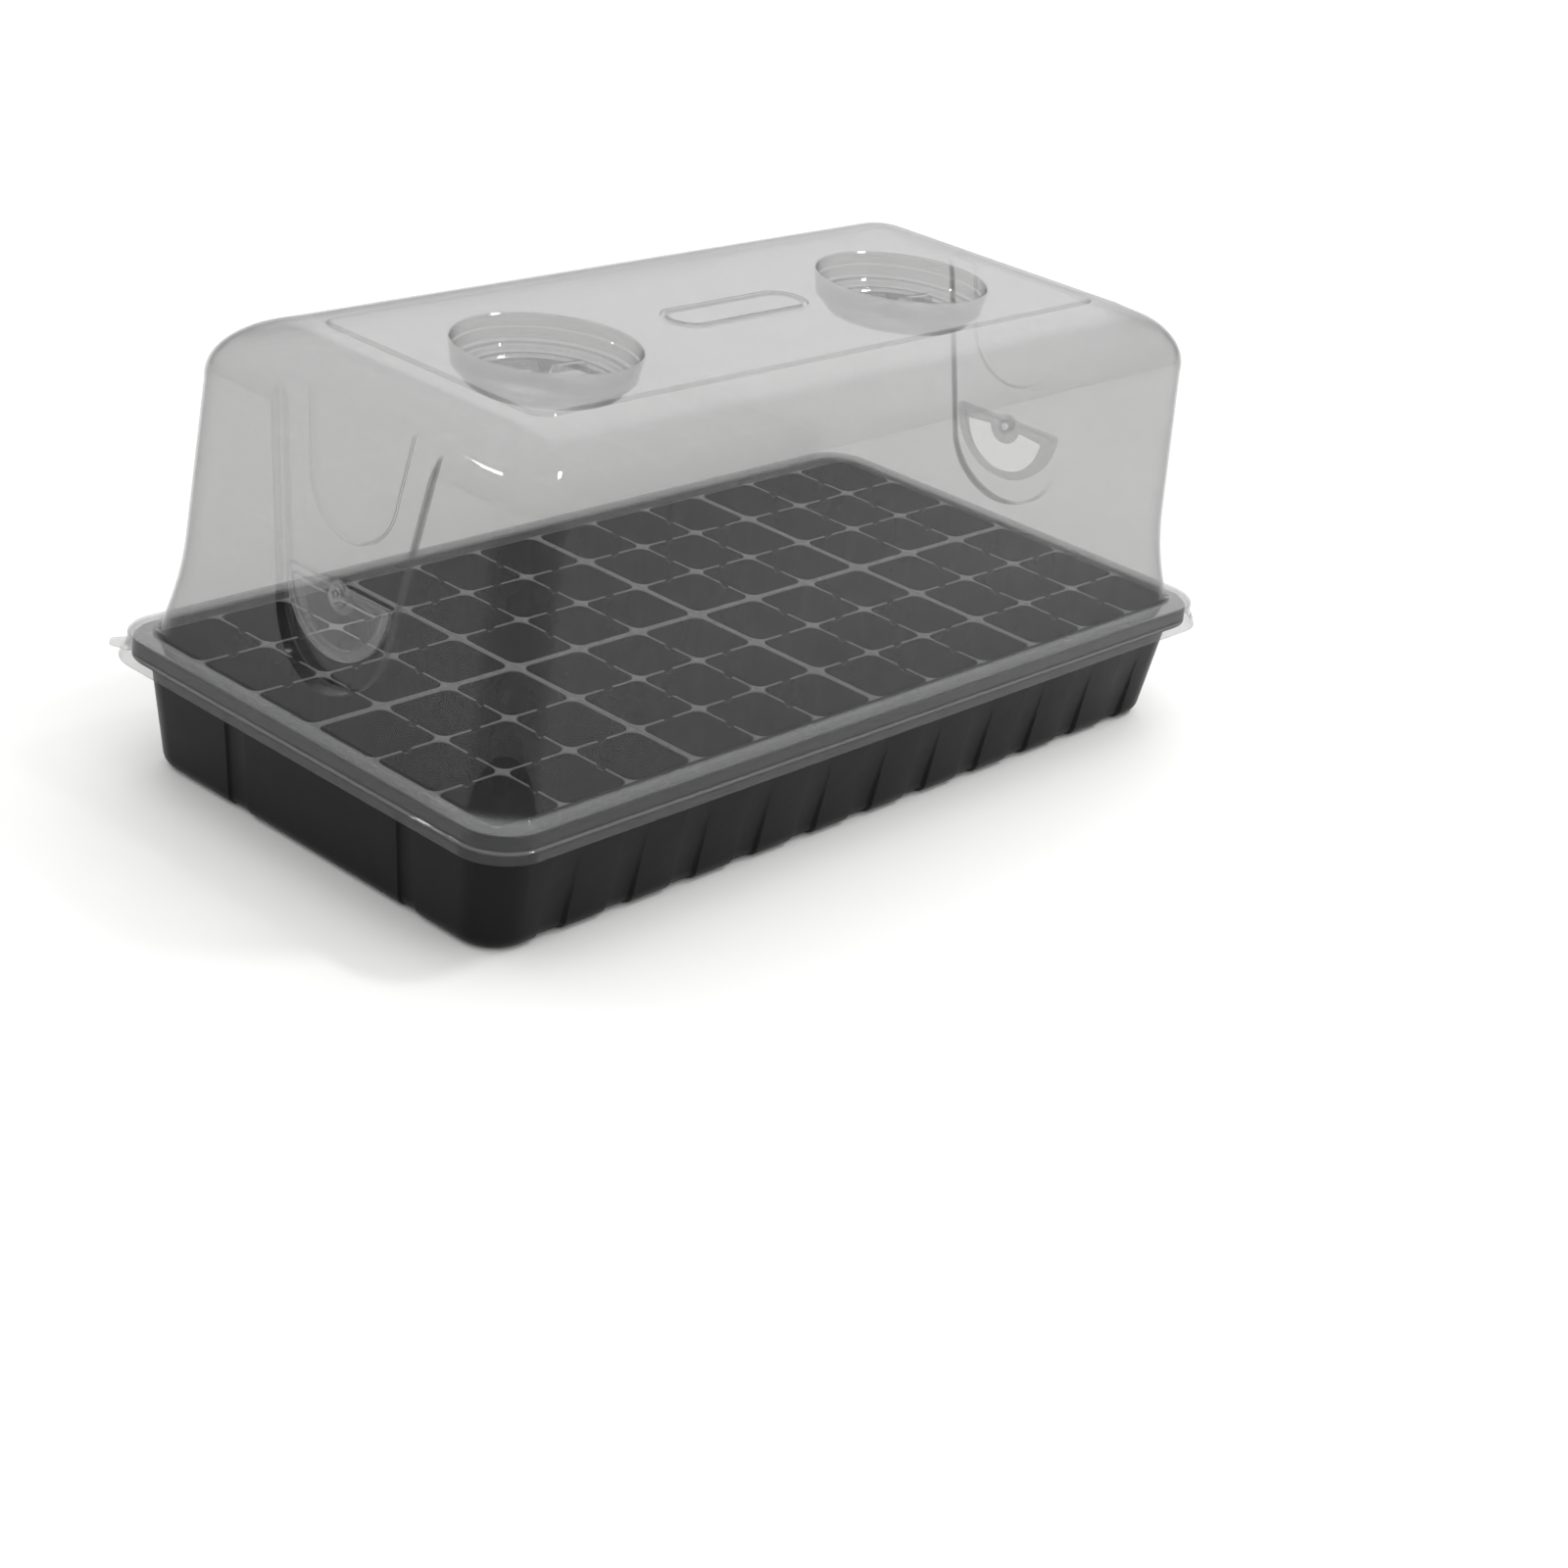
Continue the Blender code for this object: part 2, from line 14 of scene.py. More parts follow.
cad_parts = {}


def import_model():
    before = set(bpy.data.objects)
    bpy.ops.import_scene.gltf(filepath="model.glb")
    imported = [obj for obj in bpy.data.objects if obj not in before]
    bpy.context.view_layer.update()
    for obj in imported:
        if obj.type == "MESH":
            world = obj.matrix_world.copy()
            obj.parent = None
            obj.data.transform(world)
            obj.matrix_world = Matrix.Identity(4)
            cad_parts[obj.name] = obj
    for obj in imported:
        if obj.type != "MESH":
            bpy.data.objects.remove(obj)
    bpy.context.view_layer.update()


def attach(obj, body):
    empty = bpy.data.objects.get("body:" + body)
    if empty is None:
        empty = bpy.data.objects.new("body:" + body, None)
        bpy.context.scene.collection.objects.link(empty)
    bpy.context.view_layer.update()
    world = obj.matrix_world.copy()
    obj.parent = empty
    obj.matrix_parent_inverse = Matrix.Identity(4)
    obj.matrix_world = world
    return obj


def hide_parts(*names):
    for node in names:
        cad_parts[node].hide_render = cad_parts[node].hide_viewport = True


MM = 0.001
TINY = 0.01 * MM  # points nearer than this count as being in one place
ALONG = Vector((1, 0, 0))
ACROSS = Vector((0, 1, 0))
UP = Vector((0, 0, 1))
LOG = logging.getLogger("propagation_kit")


class End(Enum):
    LEFT = -1
    RIGHT = 1


class PackRow(Enum):
    """One row of cell packs; the value is its sign along Y."""

    FRONT = -1
    BACK = 1


class Slot(Enum):
    """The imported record's material slots."""

    TRAY = "tray_plastic"
    CELLS = "cell_pack_plastic"
    DOME = "dome_plastic"
    VENT = "vent_plastic"


# ---------------------------------------------------------------------------------------------
# Finishes
# ---------------------------------------------------------------------------------------------


def linear(code: str) -> tuple[float, float, float, float]:
    """Turns an sRGB hex colour into a linear colour.

    Args:
        code: six hex digits after a hash.

    Returns:
        Linear red, green and blue, and an alpha of 1.
    """
    channels = [int(code[i : i + 2], 16) / 255 for i in (1, 3, 5)]
    red, green, blue = (c / 12.92 if c <= 0.04045 else ((c + 0.055) / 1.055) ** 2.4 for c in channels)
    return red, green, blue, 1.0


def add_node(tree: Any, kind: str, settings: dict[str, Any], inputs: dict[Any, Any]) -> Any:
    """Adds a shader node with its settings, values and links.

    Args:
        tree: the node tree that it goes into.
        kind: the node's type name.
        settings: properties of the node.
        inputs: a value, or a socket to link from, for each input by name or number.

    Returns:
        The new node.
    """
    node = tree.nodes.new(kind)
    for name, value in settings.items():
        setattr(node, name, value)
    for name, value in inputs.items():
        if isinstance(value, bpy.types.NodeSocket):
            tree.links.new(value, node.inputs[name])
        else:
            node.inputs[name].default_value = value
    return node


def new_material(name: str) -> tuple[Any, Any, Any]:
    """Starts a node material.

    Args:
        name: what the material is.

    Returns:
        The material, its node tree and its output node.
    """
    material = bpy.data.materials.new(name)
    material.use_nodes = True
    tree = material.node_tree
    tree.nodes.clear()
    return material, tree, add_node(tree, "ShaderNodeOutputMaterial", {}, {})


@dataclass(frozen=True)
class FormedPolystyrene:
    """Black high-impact polystyrene sheet, vacuum formed."""

    name: str
    base: str
    scuffed: str
    painted_top_highlight: str  # painted highlight: lighter colour of the ridge and rim tops, as if they caught the light
    highlight_above: float  # height over which the painted highlight lies
    highlight_half: tuple[float, float]  # how far out the painted highlight reaches, along X and Y
    roughness: tuple[float, float]
    specular: float = 0.3
    flow_pitch: float = 38.0 * MM  # size of the patches where the sheet stretched more
    flow_height: float = 0.8 * MM  # how far those patches swell
    rub_pitch: float = 4.0 * MM
    highlight_fade: float = 0.3 * MM  # height over which the painted highlight comes in

    def material(self) -> Any:
        """Builds the material.

        Returns:
            A satin black that catches broad soft highlights, a little uneven where the sheet stretched, with
            a painted highlight on its top faces.
        """
        material, tree, output = new_material(self.name)
        place = add_node(tree, "ShaderNodeTexCoord", {}, {}).outputs["Object"]
        flow = add_node(
            tree, "ShaderNodeTexNoise", {},
            {"Vector": place, "Scale": 1 / self.flow_pitch, "Detail": 3.0, "Roughness": 0.55},
        )
        # Handling leaves pale rubs, thin and far between.
        rubs = add_node(
            tree, "ShaderNodeTexNoise", {},
            {"Vector": place, "Scale": 1 / self.rub_pitch, "Detail": 6.0, "Roughness": 0.7,
             "Distortion": 1.5},
        )
        rub_share = add_node(
            tree, "ShaderNodeMapRange", {},
            {"Value": rubs.outputs[0], "From Min": 0.56, "From Max": 0.8, "To Min": 0.0, "To Max": 0.55},
        )
        colour = add_node(
            tree, "ShaderNodeMix", {"data_type": "RGBA"},
            {0: rub_share.outputs[0], 6: linear(self.base), 7: linear(self.scuffed)},
        )
        mirrored = add_node(tree, "ShaderNodeVectorMath", {"operation": "ABSOLUTE"}, {0: place})
        reach = add_node(tree, "ShaderNodeSeparateXYZ", {}, {"Vector": mirrored.outputs[0]})
        # Painted highlight: the top faces over a height, within a reach, take a lighter colour as if they
        # caught the light.
        highlight_share = add_node(
            tree, "ShaderNodeMapRange", {},
            {"Value": reach.outputs["Z"], "From Min": self.highlight_above,
             "From Max": self.highlight_above + self.highlight_fade},
        )
        for axis, half in zip("XY", self.highlight_half):
            inside = add_node(
                tree, "ShaderNodeMath", {"operation": "LESS_THAN"}, {0: reach.outputs[axis], 1: half},
            )
            highlight_share = add_node(
                tree, "ShaderNodeMath", {"operation": "MULTIPLY"},
                {0: highlight_share.outputs[0], 1: inside.outputs[0]},
            )
        highlighted = add_node(
            tree, "ShaderNodeMix", {"data_type": "RGBA"},
            {0: highlight_share.outputs[0], 6: colour.outputs[2], 7: linear(self.painted_top_highlight)},
        )
        gloss = add_node(
            tree, "ShaderNodeMapRange", {},
            {"Value": flow.outputs[0], "From Min": 0.3, "From Max": 0.7,
             "To Min": self.roughness[0], "To Max": self.roughness[1]},
        )
        waves = add_node(
            tree, "ShaderNodeBump", {},
            {"Height": flow.outputs[0], "Strength": 0.35, "Distance": self.flow_height},
        )
        shader = add_node(
            tree, "ShaderNodeBsdfPrincipled", {},
            {"Base Color": highlighted.outputs[2], "Roughness": gloss.outputs[0], "IOR": 1.59,
             "Specular IOR Level": self.specular, "Normal": waves.outputs[0]},
        )
        tree.links.new(shader.outputs[0], output.inputs["Surface"])
        return material


@dataclass(frozen=True)
class ClearSheet:
    """Clear polyester (PET), formed or moulded: see-through, glossy, slightly grey and hazy."""

    name: str
    tint: str  # what one face lets through, square on
    edge_tint: str  # what one face lets through when seen along the sheet
    haze: tuple[float, float]  # share of light that one face scatters, least and most
    roughness: float
    ior: float = 1.33
    lip_top: float = 0.0  # height up to which the lip's level faces get a painted sheen
    # painted sheen: share of whitish light on the lip's level faces, standing in for a highlight
    painted_lip_sheen: float = 0.0
    lip_fade: float = 2.0 * MM  # height over which the lip's painted sheen ends
    ripple_pitch: float = 46.0 * MM  # length of the shallow waves left by forming
    ripple_height: float = 0.6 * MM
    smear_pitch: float = 9.0 * MM
    milk: str = "#e2e4e4"  # colour of the light that the haze scatters, and of the lip's painted sheen

    def material(self) -> Any:
        """Builds the material.

        Returns:
            A clear grey that mirrors more at a slant, with darker outlines where the sheet turns edge-on and
            a painted sheen on the lip's level faces.
        """
        material, tree, output = new_material(self.name)
        place = add_node(tree, "ShaderNodeTexCoord", {}, {}).outputs["Object"]
        ripple = add_node(
            tree, "ShaderNodeTexNoise", {},
            {"Vector": place, "Scale": 1 / self.ripple_pitch, "Detail": 1.5, "Roughness": 0.4},
        )
        skin = add_node(
            tree, "ShaderNodeBump", {},
            {"Height": ripple.outputs[0], "Strength": 0.4, "Distance": self.ripple_height},
        )
        smear = add_node(
            tree, "ShaderNodeTexNoise", {},
            {"Vector": place, "Scale": 1 / self.smear_pitch, "Detail": 5.0, "Roughness": 0.65,
             "Distortion": 0.8},
        )
        haze = add_node(
            tree, "ShaderNodeMapRange", {},
            {"Value": smear.outputs[0], "From Min": 0.35, "From Max": 0.7,
             "To Min": self.haze[0], "To Max": self.haze[1]},
        )
        height = add_node(tree, "ShaderNodeSeparateXYZ", {}, {"Vector": place}).outputs["Z"]
        lip = add_node(
            tree, "ShaderNodeMapRange", {},
            {"Value": height, "From Min": self.lip_top, "From Max": self.lip_top + self.lip_fade,
             "To Min": self.painted_lip_sheen, "To Max": 0.0},
        )
        # Painted sheen: the lip's level faces take a whitish share, standing in for the light that they
        # reflect.
        normal = add_node(tree, "ShaderNodeNewGeometry", {}, {}).outputs["Normal"]
        rise = add_node(tree, "ShaderNodeSeparateXYZ", {}, {"Vector": normal}).outputs["Z"]
        steepness = add_node(tree, "ShaderNodeMath", {"operation": "ABSOLUTE"}, {0: rise})
        level = add_node(
            tree, "ShaderNodeMapRange", {},
            {"Value": steepness.outputs[0], "From Min": 0.5, "From Max": 0.95, "To Min": 0.12, "To Max": 1.0},
        )
        haze_and_sheen = add_node(
            tree, "ShaderNodeMath", {"operation": "MULTIPLY_ADD"},
            {0: lip.outputs[0], 1: level.outputs[0], 2: haze.outputs[0]},
        )
        facing = add_node(tree, "ShaderNodeLayerWeight", {}, {"Blend": 0.5})
        slant = add_node(
            tree, "ShaderNodeMath", {"operation": "POWER"}, {0: facing.outputs["Facing"], 1: 5.0},
        )
        through = add_node(
            tree, "ShaderNodeMix", {"data_type": "RGBA"},
            {0: slant.outputs[0], 6: linear(self.tint), 7: linear(self.edge_tint)},
        )
        clear = add_node(tree, "ShaderNodeBsdfTransparent", {}, {"Color": through.outputs[2]})
        gloss = add_node(
            tree, "ShaderNodeBsdfGlossy", {},
            {"Color": (1, 1, 1, 1), "Roughness": self.roughness, "Normal": skin.outputs[0]},
        )
        # The ray isn't bent inside the thin sheet, so its inner faces mirror as its outer faces do.
        behind = add_node(tree, "ShaderNodeNewGeometry", {}, {}).outputs["Backfacing"]
        side = add_node(tree, "ShaderNodeMath", {"operation": "MULTIPLY_ADD"}, {0: behind, 1: -2.0, 2: 1.0})
        index = add_node(tree, "ShaderNodeMath", {"operation": "POWER"}, {0: self.ior, 1: side.outputs[0]})
        mirrored = add_node(tree, "ShaderNodeFresnel", {}, {"IOR": index.outputs[0]})
        sheet = add_node(
            tree, "ShaderNodeMixShader", {},
            {0: mirrored.outputs[0], 1: clear.outputs[0], 2: gloss.outputs[0]},
        )
        milk = add_node(tree, "ShaderNodeBsdfDiffuse", {}, {"Color": linear(self.milk)})
        hazed_and_sheened = add_node(
            tree, "ShaderNodeMixShader", {}, {0: haze_and_sheen.outputs[0], 1: sheet.outputs[0], 2: milk.outputs[0]},
        )
        tree.links.new(hazed_and_sheened.outputs[0], output.inputs["Surface"])
        return material


@dataclass(frozen=True)
class PaleFloor:
    name: str = "pale_floor"
    colour: str = "#f4f4f3"
    roughness: float = 0.75

    def material(self) -> Any:
        """Builds an even, matt, nearly white material.

        Returns:
            The material.
        """
        material, tree, output = new_material(self.name)
        shader = add_node(
            tree, "ShaderNodeBsdfPrincipled", {},
            {"Base Color": linear(self.colour), "Roughness": self.roughness},
        )
        tree.links.new(shader.outputs[0], output.inputs["Surface"])
        return material


# ---------------------------------------------------------------------------------------------
# Shapes
# ---------------------------------------------------------------------------------------------


@dataclass(frozen=True)
class Outline:
    """A level rectangle with round corners."""

    half_x: float
    half_y: float
    radius: float
    height: float

    def corner(self, sign_x: int, sign_y: int) -> Vector:
        """The middle of one round corner."""
        x, y = sign_x * (self.half_x - self.radius), sign_y * (self.half_y - self.radius)
        return Vector((x, y, self.height))


def clamped(value: float) -> float:
    """Limits a value to the range from 0 to 1."""
    return min(max(value, 0.0), 1.0)


def start_outline(outline: Outline, steps: int) -> tuple[Any, Any]:
    """Makes a flat face in the shape of an outline.

    Args:
        outline: the shape.
        steps: faces round each corner.

    Returns:
        The bmesh and its one face.
    """
    bm = bmesh.new()
    bmesh.ops.create_grid(bm, x_segments=1, y_segments=1, size=1.0)
    bmesh.ops.scale(bm, vec=(outline.half_x, outline.half_y, 1), verts=bm.verts)
    bmesh.ops.translate(bm, vec=(0, 0, outline.height), verts=bm.verts)
    bmesh.ops.bevel(
        bm, geom=bm.verts[:], affect="VERTICES", offset=outline.radius, segments=steps, profile=0.5,
        material=-1,
    )
    return bm, bm.faces[:][0]


def climb(bm: Any, face: Any, old: Outline, new: Outline) -> Any:
    """Extrudes a rounded face from one outline to the next.

    Args:
        bm: the bmesh.
        face: the face that has the old outline.
        old: where the face is.
        new: where the extruded face goes.

    Returns:
        The extruded face.
    """
    grown = bmesh.ops.extrude_face_region(bm, geom=[face, *face.edges])["geom"]
    top = next(item for item in grown if isinstance(item, bmesh.types.BMFace))
    ratio = new.radius / old.radius
    for sign_x in (-1, 1):
        for sign_y in (-1, 1):
            verts = [vert for vert in top.verts if vert.co.x * sign_x > 0 and vert.co.y * sign_y > 0]
            bmesh.ops.translate(bm, verts=verts, vec=-old.corner(sign_x, sign_y))
            bmesh.ops.scale(bm, verts=verts, vec=(ratio, ratio, 1))
            bmesh.ops.translate(bm, verts=verts, vec=new.corner(sign_x, sign_y))
    return top


def lofted(outlines: list[Outline], steps: int) -> Any:
    """Makes a closed solid through a stack of outlines.

    Args:
        outlines: the outlines from first to last.
        steps: faces round each corner.

    Returns:
        The bmesh.
    """
    bm, face = start_outline(outlines[0], steps)
    for old, new in zip(outlines, outlines[1:]):
        face = climb(bm, face, old, new)
    bmesh.ops.recalc_face_normals(bm, faces=bm.faces)
    return bm


def soften_rings(bm: Any, heights: tuple[float, ...], width: float, segments: int) -> None:
    """Rounds the level edge rings at some heights.

    Args:
        bm: the bmesh.
        heights: the heights of the rings.
        width: how far each rounding reaches.
        segments: faces across each rounding.
    """
    flattest = math.radians(8)  # the radial edges of a level ledge are flatter, and stay
    rings = [
        edge for edge in bm.edges
        if any(all(abs(vert.co.z - height) < TINY for vert in edge.verts) for height in heights)
        and edge.calc_face_angle(0) > flattest
    ]
    bmesh.ops.bevel(
        bm, geom=rings, affect="EDGES", offset=width, segments=segments, profile=0.5, material=-1,
        clamp_overlap=True,
    )


def turned(profile: list[tuple[float, float]], steps: int) -> Any:
    """Spins a profile about Z into a closed solid with flat ends.

    Args:
        profile: radius and height of each point, from the rim of one end to the rim of the other.
        steps: faces round the shape.

    Returns:
        The bmesh.
    """
    bm = bmesh.new()
    verts = [bm.verts.new((radius, 0, height)) for radius, height in profile]
    edges = [bm.edges.new(pair) for pair in zip(verts, verts[1:])]
    bmesh.ops.spin(
        bm, geom=verts + edges, axis=UP, cent=(0, 0, 0), angle=math.tau, steps=steps, use_merge=True,
    )
    bmesh.ops.remove_doubles(bm, verts=bm.verts, dist=TINY / 10)
    bmesh.ops.holes_fill(bm, edges=[edge for edge in bm.edges if edge.is_boundary], sides=0)
    bmesh.ops.recalc_face_normals(bm, faces=bm.faces)
    return bm


def peg(radius: float, high: float, low: float) -> Any:
    """Makes a round peg along Z, to cut a hole with."""
    return turned([(radius, high), (radius, low)], 32)


def raised(bm: Any, face: Any, height: float, scale: float = 1.0, middle: Vector | None = None) -> Any:
    """Extrudes a level face upwards and scales it.

    Args:
        bm: the bmesh.
        face: the face.
        height: how far up.
        scale: size of the extruded face over the old one.
        middle: the point that it is scaled about; the origin if left out.

    Returns:
        The extruded face.
    """
    grown = bmesh.ops.extrude_face_region(bm, geom=[face, *face.edges])["geom"]
    top = next(item for item in grown if isinstance(item, bmesh.types.BMFace))
    space = Matrix.Translation(-(middle or Vector()))
    bmesh.ops.scale(bm, vec=(scale, scale, 1), verts=top.verts, space=space)
    bmesh.ops.translate(bm, vec=(0, 0, height), verts=top.verts)
    return top


def sector_block(radii: tuple[float, float], start: float, angle: float, low: float, high: float) -> Any:
    """Makes a block in the shape of part of a ring.

    Args:
        radii: the inner and outer radius.
        start: the angle at which it starts.
        angle: how far round it goes.
        low: its underside.
        high: its top.

    Returns:
        The bmesh.
    """
    bm = bmesh.new()
    ends = [bm.verts.new((size * math.cos(start), size * math.sin(start), low)) for size in radii]
    edge = bm.edges.new(ends)
    bmesh.ops.spin(bm, geom=[*ends, edge], axis=UP, cent=(0, 0, 0), angle=angle, steps=20)
    grown = bmesh.ops.extrude_face_region(bm, geom=bm.faces[:])["geom"]
    bmesh.ops.translate(
        bm, vec=(0, 0, high - low), verts=[item for item in grown if isinstance(item, bmesh.types.BMVert)],
    )
    bmesh.ops.recalc_face_normals(bm, faces=bm.faces)
    return bm


def bar(
    length: float, width: float, low: float, high: float, middle: float, draft: float, edge: float,
) -> Any:
    """Makes a tapered bar along X with rounded edges.

    Args:
        length: its length at the foot.
        width: its width at the foot.
        low: its underside.
        high: its top.
        middle: where its centre is along X.
        draft: size of its top over its foot, across its width.
        edge: radius of its edges.

    Returns:
        The bmesh.
    """
    bm = bmesh.new()
    bmesh.ops.create_cube(bm, size=1.0)
    bmesh.ops.scale(bm, vec=(length, width, high - low), verts=bm.verts)
    top = [vert for vert in bm.verts if vert.co.z > 0]
    bmesh.ops.scale(bm, vec=(1 - (1 - draft) * width / length, draft, 1), verts=top)
    bmesh.ops.bevel(
        bm, geom=bm.edges[:], affect="EDGES", offset=edge, segments=3, profile=0.5, material=-1,
        clamp_overlap=True,
    )
    bmesh.ops.translate(bm, vec=(middle, 0, (low + high) / 2), verts=bm.verts)
    return bm


def as_object(name: str, bm: Any, place: Matrix | None = None) -> Any:
    """Turns a bmesh into an object whose own placing stays at the origin.

    Args:
        name: the object's name.
        bm: the bmesh, which is freed.
        place: where the shape goes.

    Returns:
        The object.
    """
    if place is not None:
        bmesh.ops.transform(bm, matrix=place, verts=bm.verts)
    mesh = bpy.data.meshes.new(name)
    bm.to_mesh(mesh)
    bm.free()
    obj = bpy.data.objects.new(name, mesh)
    bpy.context.scene.collection.objects.link(obj)
    return obj


def settle(obj: Any) -> None:
    """Makes the shape that an object's modifiers give its own mesh.

    Args:
        obj: the object.
    """
    graph = bpy.context.evaluated_depsgraph_get()
    mesh = bpy.data.meshes.new_from_object(obj.evaluated_get(graph))
    obj.modifiers.clear()
    obj.data = mesh


def combine(obj: Any, tool: Any, operation: str = "DIFFERENCE") -> None:
    """Cuts a closed shape from an object, or joins it on, and removes the tool.

    Args:
        obj: the object that is changed.
        tool: the closed shape.
        operation: DIFFERENCE or UNION.
    """
    modifier = obj.modifiers.new("combine", "BOOLEAN")
    modifier.operation = operation
    modifier.solver = "EXACT"
    modifier.object = tool
    settle(obj)
    bpy.data.objects.remove(tool, do_unlink=True)


def thicken(obj: Any, thickness: float, even: bool = True) -> None:
    """Gives a formed sheet its thickness, away from the side that its faces look to.

    Args:
        obj: the open sheet.
        thickness: the thickness.
        even: keeps the thickness at edges, which needs edges that aren't sharp.
    """
    modifier = obj.modifiers.new("sheet", "SOLIDIFY")
    modifier.thickness = thickness
    modifier.offset = -1
    modifier.use_even_offset = even
    modifier.use_quality_normals = True
    settle(obj)


def soften_edges(obj: Any, width: float, segments: int, sharper_than: float) -> None:
    """Rounds an object's sharp edges.

    Args:
        obj: the object.
        width: how far each rounding reaches.
        segments: faces across each rounding.
        sharper_than: edges at a smaller angle stay, in degrees.
    """
    modifier = obj.modifiers.new("soft edges", "BEVEL")
    modifier.width = width
    modifier.segments = segments
    modifier.limit_method = "ANGLE"
    modifier.angle_limit = math.radians(sharper_than)
    modifier.use_clamp_overlap = True
    settle(obj)


def dress(
    obj: Any, material: Any, body: str, nodes: tuple[str, ...], crease: float = 40.0,
) -> None:
    """Finishes a piece: smooth shading, material, the body that it rides on and what it stands for.

    Args:
        obj: the piece.
        material: its material.
        body: the body that it moves with.
        nodes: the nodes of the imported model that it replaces.
        crease: edges sharper than this stay crisp, in degrees.
    """
    obj.data.materials.clear()
    obj.data.materials.append(material)
    obj.data.shade_smooth()
    obj.data.set_sharp_from_angle(angle=math.radians(crease))
    weighted = obj.modifiers.new("even shading", "WEIGHTED_NORMAL")
    weighted.keep_sharp = True
    weighted.mode = "FACE_AREA"
    weighted.weight = 60
    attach(obj, body)
    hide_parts(*nodes)
    LOG.info("%s: %d faces", obj.name, len(obj.data.polygons))


def opened(obj: Any, height: float) -> None:
    """Turns a closed solid into a sheet.

    Args:
        obj: the solid.
        height: where its level faces are removed.
    """
    bm = bmesh.new()
    bm.from_mesh(obj.data)
    lids = [
        face for face in bm.faces
        if abs(face.normal.z) > 0.99 and abs(face.calc_center_median().z - height) < 5 * TINY
    ]
    bmesh.ops.delete(bm, geom=lids, context="FACES")
    bm.to_mesh(obj.data)
    bm.free()


# ---------------------------------------------------------------------------------------------
# Sub-assemblies
# ---------------------------------------------------------------------------------------------


